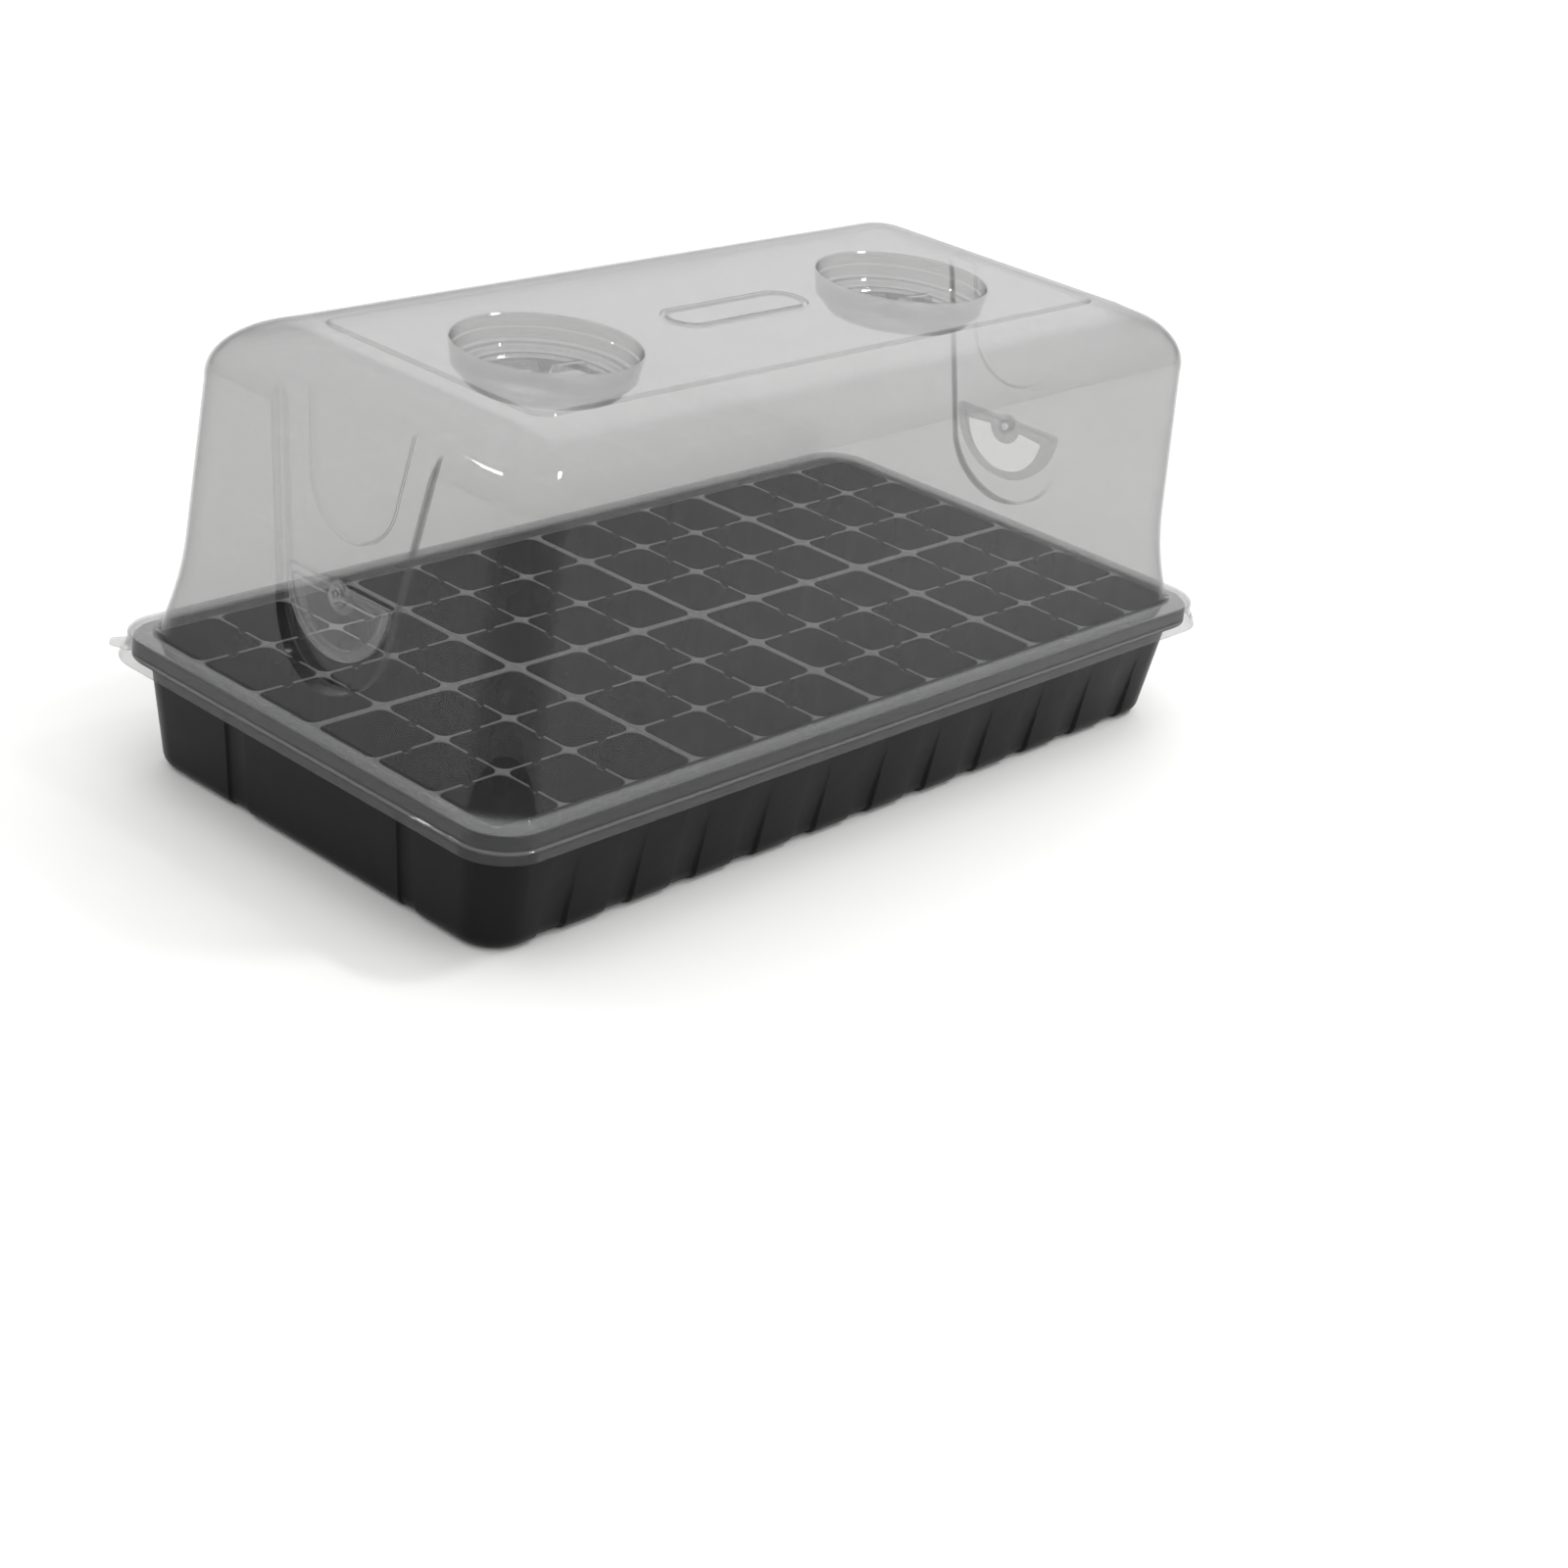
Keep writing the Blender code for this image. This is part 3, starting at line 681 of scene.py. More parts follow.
@dataclass
class Tray:
    """The nursery tray: flat floor, drafted walls with flutes, flange and down-turned lip."""

    half: tuple[float, float] = (267.9 * MM, 137.3 * MM)
    sheet: float = 1.2 * MM
    rim_top: float = 66.4 * MM
    rim_width: float = 6.6 * MM
    rim_round: float = 1.3 * MM
    rim_clear: float = 8.0 * MM  # how far under the rim nothing is pressed
    lip_bottom: float = 57.5 * MM
    lip_lean: float = 0.3 * MM
    draft: float = 7.9 * MM
    floor_edge: float = 5.5 * MM
    corner_radii: tuple[float, float, float] = (20.0 * MM, 22.0 * MM, 25.0 * MM)  # floor, mouth and rim
    corner_clear: float = 24.0 * MM  # how far from a wall's ends nothing is pressed
    wall_reach: float = 16.0 * MM  # how far in from the mouth a wall's foot may be
    wall_cuts: tuple[float, ...] = (8.0 * MM, 16.0 * MM, 28.0 * MM, 40.0 * MM, 52.0 * MM, 57.0 * MM)
    flute_pitch: float = 43.2 * MM
    flute_count: int = 11
    flute_half_width: float = 9.5 * MM
    flute_side: float = 1.6 * MM
    flute_depth: float = 2.1 * MM
    flute_top: float = 50.0 * MM
    end_steps: tuple[tuple[float, float], ...] = ((44.0 * MM, 60.0 * MM), (-76.0 * MM, -63.0 * MM))
    end_step_depth: float = 1.4 * MM
    end_step_side: float = 1.2 * MM
    end_step_top: float = 57.4 * MM
    end_step_fade: float = 6.0 * MM

    def outlines(self) -> list[Outline]:
        """The inside of the sheet, from the floor to the lip.

        Returns:
            The outlines in order.
        """
        floor, mouth, rim = self.corner_radii
        levels = (
            (self.rim_width + self.draft, self.sheet, floor),
            (self.rim_width, self.rim_top, mouth),
            (0.0, self.rim_top, rim),
            (-self.lip_lean, self.lip_bottom, rim),
        )
        return [Outline(self.half[0] - inset, self.half[1] - inset, radius, z) for inset, z, radius in levels]

    def flute(self, along: float, height: float) -> float:
        """How deep a long wall is pressed in, at a place along it and a height.

        Args:
            along: the place along the wall, from its middle.
            height: the height above the ground.

        Returns:
            The depth.
        """
        span = self.flute_pitch * (self.flute_count - 1) / 2
        nearest = round(min(max(along, -span), span) / self.flute_pitch) * self.flute_pitch
        inside = self.flute_half_width - abs(along - nearest)
        fade = clamped((self.flute_top - height) / self.flute_top)
        return self.flute_depth * clamped(inside / self.flute_side) * fade

    def end_step(self, along: float, height: float) -> float:
        """How deep an end wall is pressed in, at a place along it and a height.

        Args:
            along: the place along the wall, from its middle.
            height: the height above the ground.

        Returns:
            The depth.
        """
        inside = max(min(along - low, high - along) for low, high in self.end_steps)
        fade = clamped((self.end_step_top - height) / self.end_step_fade)
        return self.end_step_depth * clamped(inside / self.end_step_side) * fade

    def outside_mouth(self, place: Vector) -> float:
        """How far a point lies outside the mouth of the tray, across the rim."""
        return self.rim_width + max(abs(place.x) - self.half[0], abs(place.y) - self.half[1])

    def press_walls(self, bm: Any) -> None:
        """Cuts the walls where the flutes and steps begin and end, and presses those in.

        Args:
            bm: the tray's bmesh.
        """
        cuts = []
        for i in range(self.flute_count):
            middle = (i - (self.flute_count - 1) / 2) * self.flute_pitch
            for reach in (self.flute_half_width, self.flute_half_width - self.flute_side):
                cuts += [(ALONG * (middle + sign * reach), ALONG) for sign in (1, -1)]
        for low, high in self.end_steps:
            for place in (low, low + self.end_step_side, high - self.end_step_side, high):
                cuts.append((ACROSS * place, ACROSS))
        cuts += [(UP * height, UP) for height in sorted((*self.wall_cuts, self.flute_top))]
        walls = [
            face for face in bm.faces
            if abs(face.normal.z) < 0.99 and face.calc_center_median().z < self.rim_top - self.rim_clear
            and self.outside_mouth(face.calc_center_median()) < self.rim_width / 2
        ]
        inner = self.half[0] - self.rim_width, self.half[1] - self.rim_width
        for point, normal in cuts:
            geom = {item for face in walls for item in (face, *face.edges, *face.verts)}
            result = bmesh.ops.bisect_plane(
                bm, geom=list(geom), plane_co=point, plane_no=normal, dist=TINY,
            )
            walls = [item for item in result["geom"] if isinstance(item, bmesh.types.BMFace)]
        for vert in {vert for face in walls for vert in face.verts}:
            x, y, z = vert.co
            if abs(y) > inner[1] - self.wall_reach and abs(x) < inner[0] - self.corner_clear:
                vert.co.y -= math.copysign(self.flute(x, z), y)
            elif abs(x) > inner[0] - self.wall_reach and abs(y) < inner[1] - self.corner_clear:
                vert.co.x -= math.copysign(self.end_step(y, z), x)

    def build(self, finish: FormedPolystyrene) -> None:
        """Forms the tray and dresses it.

        Args:
            finish: the black sheet.
        """
        outlines = self.outlines()
        bm, face = start_outline(outlines[0], 12)
        for old, new in zip(outlines, outlines[1:]):
            face = climb(bm, face, old, new)
        bmesh.ops.delete(bm, geom=[face], context="FACES")
        soften_rings(bm, (outlines[0].height,), self.floor_edge, 5)
        soften_rings(bm, (self.rim_top,), self.rim_round, 3)
        self.press_walls(bm)
        bmesh.ops.recalc_face_normals(bm, faces=bm.faces)
        floor = min(bm.faces, key=lambda item: item.calc_center_median().z)
        if floor.normal.z < 0:
            bmesh.ops.reverse_faces(bm, faces=bm.faces)
        tray = as_object("nursery_tray", bm)
        thicken(tray, self.sheet)
        dress(tray, finish.material(), "tray", ("tray",), crease=50)


@dataclass
class CellInsert:
    """The sheet of snap-apart packs, each of three by three tapered cells."""

    pitch: tuple[float, float] = (43.2 * MM, 41.9 * MM)
    half: tuple[float, float] = (264.8 * MM, 133.9 * MM)
    chamfer: float = 12.0 * MM
    top: float = 67.5 * MM
    sheet: float = 0.8 * MM
    thin_ridge: float = 2.0 * MM
    wide_ridge: float = 4.4 * MM
    gap: float = 0.3 * MM
    border_fall: float = 0.25 * MM  # how far the sheet's outer border slopes down
    depth: float = 55.0 * MM
    foot: float = 0.62
    corner: float = 5.5 * MM
    drain: float = 7.5 * MM
    ridge_round: float = 0.55 * MM
    notch_depth: float = 1.9 * MM
    notch_half: float = 3.4 * MM
    notch_flat: float = 0.45  # share of a notch that is flat
    columns: int = 4

    def cell_size(self) -> tuple[float, float]:
        """Pitch of the cells inside one pack, which the wide border ridges leave."""
        across = [(3 * pitch - self.wide_ridge + self.thin_ridge) / 3 for pitch in self.pitch]
        return across[0], across[1]

    def cells(self) -> Any:
        """Makes nine cells round the origin, without the border.

        Returns:
            The bmesh, with its sheet at height 0.
        """
        size_x, size_y = self.cell_size()
        bm = bmesh.new()
        bmesh.ops.create_grid(bm, x_segments=3, y_segments=3, size=0.5)
        bmesh.ops.scale(bm, vec=(3 * size_x, 3 * size_y, 1), verts=bm.verts)
        mouths = bm.faces[:]
        bmesh.ops.inset_individual(bm, faces=mouths, thickness=self.thin_ridge / 2)
        for mouth in mouths:
            middle = mouth.calc_center_median()
            floor = bmesh.ops.extrude_discrete_faces(bm, faces=[mouth])["faces"][0]
            bmesh.ops.translate(bm, verts=floor.verts, vec=(0, 0, -self.depth))
            bmesh.ops.scale(
                bm, vec=(self.foot, self.foot, 1), verts=floor.verts, space=Matrix.Translation(-middle),
            )
        bmesh.ops.remove_doubles(bm, verts=bm.verts, dist=TINY)
        uprights = [
            edge for edge in bm.edges if abs(edge.verts[0].co.z - edge.verts[1].co.z) > self.depth / 2
        ]
        bmesh.ops.bevel(
            bm, geom=uprights, offset=self.corner, segments=4, profile=0.5, affect="EDGES", material=-1,
            clamp_overlap=False,
        )
        floors = [face for face in bm.faces if face.calc_center_median().z < -0.95 * self.depth]
        bmesh.ops.inset_individual(bm, faces=floors, thickness=self.drain)
        bmesh.ops.delete(bm, geom=floors, context="FACES_ONLY")
        return bm

    def notch(self, bm: Any) -> None:
        """Dips the thin ridges half way along each cell, so that water can pass over.

        Args:
            bm: the bmesh of one pack.
        """
        size_x, size_y = self.cell_size()
        reaches = (0.0, self.notch_flat * self.notch_half, self.notch_half)
        top = [face for face in bm.faces if max(vert.co.z for vert in face.verts) > -0.5 * self.depth]
        for axis, size in ((ALONG, size_x), (ACROSS, size_y)):
            for cell in (-1, 0, 1):
                for reach in reaches:
                    for sign in (-1, 1) if reach else (1,):
                        geom = {item for face in top for item in (face, *face.edges, *face.verts)}
                        result = bmesh.ops.bisect_plane(
                            bm, geom=list(geom), plane_co=axis * (cell * size + sign * reach), plane_no=axis,
                            dist=TINY,
                        )
                        top = [item for item in result["geom"] if isinstance(item, bmesh.types.BMFace)]
        for vert in bm.verts:
            if vert.co.z < -2 * self.ridge_round:
                continue
            for along, across, size_along, size_across in (
                (vert.co.x, vert.co.y, size_x, size_y), (vert.co.y, vert.co.x, size_y, size_x),
            ):
                off_ridge = abs(abs(across) - size_across / 2)
                off_middle = abs(along - round(along / size_along) * size_along)
                if off_ridge < 0.6 * self.thin_ridge and off_middle < self.notch_half - TINY:
                    vert.co.z = -self.notch_depth

    def build(self, finish: FormedPolystyrene) -> None:
        """Forms the eight packs and dresses them.

        Args:
            finish: the thin black sheet.
        """
        material = finish.material()
        for row in PackRow:
            for column in range(self.columns):
                self.build_pack(row, column, material)

    def build_pack(self, row: PackRow, column: int, material: Any) -> None:
        """Forms one pack.

        Args:
            row: the front or the back row.
            material: the sheet's material.
        """
        half_x, half_y = 1.5 * self.pitch[0], 1.5 * self.pitch[1]
        centre = ALONG * (2 * column - self.columns + 1) * half_x + ACROSS * row.value * half_y
        bm = self.cells()
        # The border: from the outer mouths to the next pack, or to the tray's rim.
        border = [edge for edge in bm.edges if edge.is_boundary and edge.verts[0].co.z > -MM]
        bmesh.ops.extrude_edge_only(bm, edges=border)
        size_x, size_y = self.cell_size()
        reach_x, reach_y = 1.5 * size_x, 1.5 * size_y
        ring = [vert for vert in bm.verts if vert.is_boundary and vert.co.z > -MM]
        outer_column = column in (0, self.columns - 1)
        for vert in ring:
            if abs(abs(vert.co.x) - reach_x) < TINY:
                outer = outer_column and vert.co.x * centre.x > 0
                edge = self.half[0] - abs(centre.x) if outer else half_x - self.gap / 2
                vert.co.x = math.copysign(edge, vert.co.x)
                vert.co.z -= self.border_fall if outer else 0.0
            if abs(abs(vert.co.y) - reach_y) < TINY:
                outer = vert.co.y * centre.y > 0
                edge = self.half[1] - abs(centre.y) if outer else half_y - self.gap / 2
                vert.co.y = math.copysign(edge, vert.co.y)
                vert.co.z = -self.border_fall if outer else vert.co.z
        bmesh.ops.remove_doubles(bm, verts=bm.verts, dist=TINY)
        rims = [
            edge for edge in bm.edges
            if not edge.is_boundary and all(vert.co.z > -TINY for vert in edge.verts)
            and edge.calc_face_angle(0) > math.radians(45)
        ]
        bmesh.ops.bevel(
            bm, geom=rims, offset=self.ridge_round, segments=2, profile=0.5, affect="EDGES", material=-1,
            clamp_overlap=True,
        )
        self.notch(bm)
        bmesh.ops.recalc_face_normals(bm, faces=bm.faces)
        if sum(face.normal.z * face.calc_area() for face in bm.faces) < 0:
            bmesh.ops.reverse_faces(bm, faces=bm.faces)
        bmesh.ops.translate(bm, verts=bm.verts, vec=centre + UP * self.top)
        if outer_column:
            outward = Vector((math.copysign(1, centre.x), math.copysign(1, centre.y), 0)).normalized()
            corner = Vector((math.copysign(self.half[0], centre.x), math.copysign(self.half[1], centre.y), 0))
            bmesh.ops.bisect_plane(
                bm, geom=bm.verts[:] + bm.edges[:] + bm.faces[:],
                plane_co=corner - outward * self.chamfer / math.sqrt(2), plane_no=outward, clear_outer=True,
            )
        name = f"{row.name.lower()}_{column + 1}"
        pack = as_object(f"cells_{name}", bm)
        thicken(pack, self.sheet)
        dress(pack, material, "insert_sheet", (f"cell_pack_{name}",), crease=50)


@dataclass
class Dome:
    """The clear dome: stepped lip, flared wall, round shoulders, raised panel, vent cups and end recesses."""

    half: tuple[float, float] = (273.0 * MM, 142.4 * MM)
    sheet: float = 1.0 * MM
    top: float = 233.0 * MM
    lip_bottom: float = 56.2 * MM
    lip_step: tuple[float, float] = (60.6 * MM, 61.4 * MM)
    ledge: float = 69.0 * MM
    wall_base: float = 71.5 * MM
    wall_inset: float = 13.9 * MM
    flare_top: float = 121.0 * MM
    wall_middle: float = 160.0 * MM
    wall_top: float = 200.0 * MM
    slope: float = 0.045
    flare: float = 5.5 * MM
    panel_inset: float = 67.0 * MM
    panel_step: float = 1.5 * MM
    panel_radius: float = 12.0 * MM
    wall_radius: float = 24.0 * MM
    flare_steps: int = 9
    shoulder_steps: int = 22
    lip_rounds: tuple[float, float, float] = (0.7 * MM, 1.1 * MM, 1.2 * MM)  # lip step, ledge and panel
    end_steps: tuple[tuple[float, float], ...] = ((219.0 * MM, 1.3 * MM), (234.0 * MM, 1.5 * MM))
    end_step_ramp: float = 4.0 * MM
    end_step_start: float = 206.5 * MM
    end_step_half: float = 96.0 * MM
    end_step_side: float = 26.0 * MM
    end_step_end: float = 245.0 * MM
    end_step_fade: float = 9.0 * MM
    cup_x: float = 129.4 * MM
    cup_radius: float = 45.2 * MM
    cup_mouth: float = 1.4 * MM
    cup_depth: float = 19.5 * MM
    plate_half: tuple[float, float] = (48.0 * MM, 14.0 * MM)
    plate_depth: float = 1.0 * MM
    plate_groove: float = 2.6 * MM  # width of the groove round the nameplate's field
    plate_field: float = 0.25 * MM  # how deep the field lies
    plate_edge: float = 0.8 * MM
    pivot_height: float = 130.7 * MM
    pivot_x: float = 245.5 * MM
    recess_top: float = 100.0 * MM  # above the pivot, past the shoulder
    recess_spread: float = 0.2
    low_recess: tuple[float, float, float] = (37.5 * MM, -7.9 * MM, 1.6 * MM)  # radius, middle, fillet
    high_recess: tuple[float, float, float] = (30.0 * MM, 54.7 * MM, 3.2 * MM)
    high_recess_depth: float = 2.5 * MM
    tab_size: tuple[float, float] = (17.0 * MM, 12.0 * MM)
    tab_inward: float = 12.4 * MM  # from the corner of the dome's box to the tab's middle
    tab_round: float = 1.5 * MM
    cut_above: float = 2.0 * MM  # how far the tools of the holes reach over the sheet
    cut_below: float = 4.0 * MM
    pin_hole: float = 3.3 * MM
    rivet_hole: float = 2.5 * MM
    end_air_margin: float = 0.1  # angle left solid beside each end opening
    air_radii: tuple[float, float] = (11.0 * MM, 31.0 * MM)
    air_angle: float = math.radians(76)
    end_air_radii: tuple[float, float] = (10.0 * MM, 26.5 * MM)

    def outlines(self) -> list[Outline]:
        """The outside of the dome, from the lip to the panel.

        Returns:
            The outlines in order.
        """
        # Inset, height and corner radius of each ring of the lip.
        levels = [
            (0.0, self.lip_bottom, 26.0 * MM),
            (1.3 * MM, self.lip_step[0], 26.0 * MM),
            (3.0 * MM, self.lip_step[1], 24.3 * MM),
            (3.4 * MM, self.ledge, 24.0 * MM),
            (13.2 * MM, self.ledge, 21.0 * MM),
        ]
        flare_height = self.flare_top - self.wall_base
        heights = [self.wall_base + flare_height * i / self.flare_steps for i in range(self.flare_steps + 1)]
        for height in (*heights, self.wall_middle, self.wall_top):
            fade = max(self.flare_top - height, 0) / flare_height
            inset = self.wall_inset + self.slope * (height - self.wall_base) + self.flare * (1 - fade**2)
            levels.append((inset, height, self.wall_radius))
        start = levels[-1][0]
        for step in range(1, self.shoulder_steps + 1):
            share = step / self.shoulder_steps
            angle = share * math.pi / 2
            inset = self.panel_inset - (self.panel_inset - start) * math.cos(angle)
            height = self.wall_top + (self.top - self.panel_step - self.wall_top) * math.sin(angle)
            levels.append((inset, height, self.wall_radius + (self.panel_radius - self.wall_radius) * share))
        levels.append((self.panel_inset + self.panel_step, self.top, self.panel_radius))
        return [Outline(self.half[0] - inset, self.half[1] - inset, radius, z) for inset, z, radius in levels]

    def press_end_steps(self, bm: Any) -> None:
        """Presses two soft steps into the shoulder at each end, as wide as the panel.

        Args:
            bm: the dome's bmesh.
        """
        for vert in bm.verts:
            reach, side = abs(vert.co.x), abs(vert.co.y)
            if vert.co.z < self.wall_top or reach < self.end_step_start:
                continue
            share = clamped((self.end_step_half - side) / self.end_step_side)
            back = clamped((self.end_step_end - reach) / self.end_step_fade)
            for place, height in self.end_steps:
                ramp = clamped((reach - place) / self.end_step_ramp + 0.5)
                vert.co.z -= share * height * ramp * back

    def cup(self) -> Any:
        """The hollow of a round top vent, as a closed shape with a rounded mouth.

        Returns:
            The bmesh, with the panel at height 0.
        """
        rim = [
            (self.cup_radius + self.cup_mouth * (1 - math.sin(turn)), -self.cup_mouth * (1 - math.cos(turn)))
            for turn in (0.0, math.pi / 6, math.pi / 3, math.pi / 2)
        ]
        # Two steps lead down to the floor.
        profile = [
            (self.cup_radius + self.cup_mouth, 4.0 * MM), *rim,
            (44.6 * MM, -6.2 * MM), (43.9 * MM, -7.0 * MM), (43.6 * MM, -12.2 * MM),
            (42.8 * MM, -13.3 * MM), (39.4 * MM, -13.3 * MM), (38.5 * MM, -14.1 * MM),
            (38.1 * MM, -16.4 * MM), (37.7 * MM, -16.9 * MM),
            (37.4 * MM, -self.cup_depth + 0.5 * MM), (36.9 * MM, -self.cup_depth),
        ]
        return turned(profile, 96)

    def recess(self, radius: float, middle: float, fillet: float) -> Any:
        """A U-shaped end recess, as a closed shape that spreads a little outwards.

        Args:
            radius: radius of its round bottom, at the dome's wall.
            middle: the centre of that round, above the pivot.
            fillet: radius between its floor and its side.

        Returns:
            The bmesh, on the recess floor, with Y up the wall and Z out of it.
        """
        bm = bmesh.new()
        size = radius - fillet
        bmesh.ops.create_circle(bm, cap_ends=True, radius=size, segments=96)
        upper = [vert for vert in bm.verts if vert.co.y > -TINY]
        bmesh.ops.scale(bm, vec=(1.0, 0.05, 1.0), verts=upper)
        reach = self.recess_top - middle
        bmesh.ops.translate(bm, vec=(0, reach, 0), verts=upper)
        for vert in upper:
            vert.co.x += self.recess_spread * reach * vert.co.x / radius
        bmesh.ops.translate(bm, vec=(0, middle, 0), verts=bm.verts)
        face, centre = bm.faces[:][0], Vector((0, middle, 0))
        # The fillet, then the walls out past the dome.
        for new_size, rise in (
            (radius - 0.5 * fillet, 0.14 * fillet), (radius - 0.14 * fillet, 0.36 * fillet),
            (radius, 0.5 * fillet), (radius + 1.2 * MM, 8 * MM), (radius + 4 * MM, 30 * MM),
        ):
            face = raised(bm, face, rise, new_size / size, centre)
            size = new_size
        bmesh.ops.recalc_face_normals(bm, faces=bm.faces)
        return bm

    def plate(self, shrink: float, depth: float) -> Any:
        """A shallow stadium-shaped recess with sloped sides, as a closed shape.

        Args:
            shrink: how far its floor stays inside the nameplate's outline.
            depth: how deep it is.

        Returns:
            The bmesh, with its mouth at height 0.
        """
        bm = bmesh.new()
        end_radius = self.plate_half[1] - shrink
        bmesh.ops.create_circle(bm, cap_ends=True, radius=end_radius, segments=64)
        reach = self.plate_half[0] - self.plate_half[1]
        for sign in (-1, 1):
            half = [vert for vert in bm.verts if vert.co.x * sign > TINY]
            bmesh.ops.translate(bm, vec=(sign * reach, 0, 0), verts=half)
        bmesh.ops.translate(bm, vec=(0, 0, -depth), verts=bm.verts)
        face = bm.faces[:][0]
        # The foot of the side, the side, and on past the panel.
        for grow, rise in ((0.25 * MM, 0.2 * depth), (0.5 * MM, 0.8 * depth), (0.2 * MM, 3 * MM)):
            face = raised(bm, face, rise)
            bmesh.ops.scale(
                bm, vec=(1 + grow / self.plate_half[0], 1 + grow / end_radius, 1), verts=face.verts,
            )
        bmesh.ops.recalc_face_normals(bm, faces=bm.faces)
        return bm

    def end_place(self, end: End, outward: float = 0.0) -> Matrix:
        """Frame of an end vent: X across the end, Y up the recess floor and Z out of the dome.

        Args:
            end: which end.
            outward: how far out from the recess floor.

        Returns:
            The matrix.
        """
        tilt = math.atan(self.slope)
        out = Vector((end.value * math.cos(tilt), 0, math.sin(tilt)))
        up = Vector((-end.value * math.sin(tilt), 0, math.cos(tilt)))
        turn = Matrix((up.cross(out), up, out)).transposed().to_4x4()
        pivot = Vector((end.value * self.pivot_x, 0, self.pivot_height))
        return Matrix.Translation(pivot + out * outward) @ turn

    def cup_place(self, end: End, height: float = 0.0) -> Matrix:
        """Frame of a top vent, at a height over the cup's floor."""
        return Matrix.Translation((end.value * self.cup_x, 0, self.top - self.cup_depth + height))

    def tab(self) -> Any:
        """The small lift tab that stands out of the lip's back-left corner, inside the dome's box.

        Returns:
            The bmesh, in its place.
        """
        bm = bmesh.new()
        bmesh.ops.create_cube(bm, size=1.0)
        bmesh.ops.scale(bm, vec=(*self.tab_size, self.sheet), verts=bm.verts)
        outer = [vert for vert in bm.verts if vert.co.y > 0]
        bmesh.ops.scale(bm, vec=(0.45, 1, 1), verts=outer)
        uprights = [edge for edge in bm.edges if abs(edge.verts[0].co.z - edge.verts[1].co.z) > TINY]
        bmesh.ops.bevel(
            bm, geom=uprights, affect="EDGES", offset=self.tab_round, segments=4, profile=0.5, material=-1,
            clamp_overlap=True,
        )
        inward = Vector((1, -1, 0)).normalized()
        middle = sum(self.lip_step) / 2 - self.sheet / 2
        corner = Vector((-self.half[0], self.half[1], middle))
        place = Matrix.Translation(corner + inward * self.tab_inward) @ Matrix.Rotation(math.pi / 4, 4, "Z")
        bmesh.ops.transform(bm, matrix=place, verts=bm.verts)
        return bm

    def build(self, finish: ClearSheet) -> None:
        """Forms the dome and dresses it.

        Args:
            finish: the clear sheet.
        """
        bm = lofted(self.outlines(), 14)
        self.press_end_steps(bm)
        rings = (self.lip_step, (self.ledge, self.wall_base), (self.top,))
        for heights, width in zip(rings, self.lip_rounds):
            soften_rings(bm, heights, width, 3)
        dome = as_object("humidity_dome", bm)
        self.sink_plate(dome)
        for end in End:
            place = Matrix.Translation((end.value * self.cup_x, 0, self.top))
            combine(dome, as_object("cup", self.cup(), place))
            combine(dome, as_object("recess", self.recess(*self.low_recess), self.end_place(end)))
            inward = self.end_place(end, -self.high_recess_depth)
            combine(dome, as_object("upper", self.recess(*self.high_recess), inward))
        opened(dome, self.lip_bottom)
        thicken(dome, self.sheet, even=False)
        for end in End:
            self.pierce(dome, end)
        combine(dome, as_object("tab", self.tab()), "UNION")
        dress(dome, finish.material(), "dome", ("dome",), crease=28)

    def sink_plate(self, dome: Any) -> None:
        """Sinks the nameplate's groove into the panel, round a blank field.

        Args:
            dome: the dome, before it is thickened.
        """
        on_top = Matrix.Translation((0, 0, self.top))
        groove = as_object("groove", self.plate(self.plate_edge, self.plate_depth), on_top)
        field = self.plate(self.plate_edge + self.plate_groove, 3.0 * MM)
        bmesh.ops.translate(field, vec=(0, 0, -self.plate_field), verts=field.verts)
        combine(groove, as_object("field", field, on_top))
        combine(dome, groove)

    def pierce(self, dome: Any, end: End) -> None:
        """Cuts the air openings and the holes of the pin and the rivet at one end.

        Args:
            dome: the dome, thickened.
            end: which end.
        """
        high, low = self.cut_above, -self.cut_below
        cup_place, end_place = self.cup_place(end), self.end_place(end)
        for turn in (0.0, math.pi):
            air = sector_block(self.air_radii, turn - self.air_angle / 2, self.air_angle, low, high)
            combine(dome, as_object("air", air, cup_place))
        combine(dome, as_object("pin_hole", peg(self.pin_hole, high, low), cup_place))
        margin = self.end_air_margin
        below = sector_block(self.end_air_radii, math.pi + margin, math.pi - 2 * margin, low, high)
        combine(dome, as_object("end_air", below, end_place))
        combine(dome, as_object("rivet_hole", peg(self.rivet_hole, high, low), end_place))


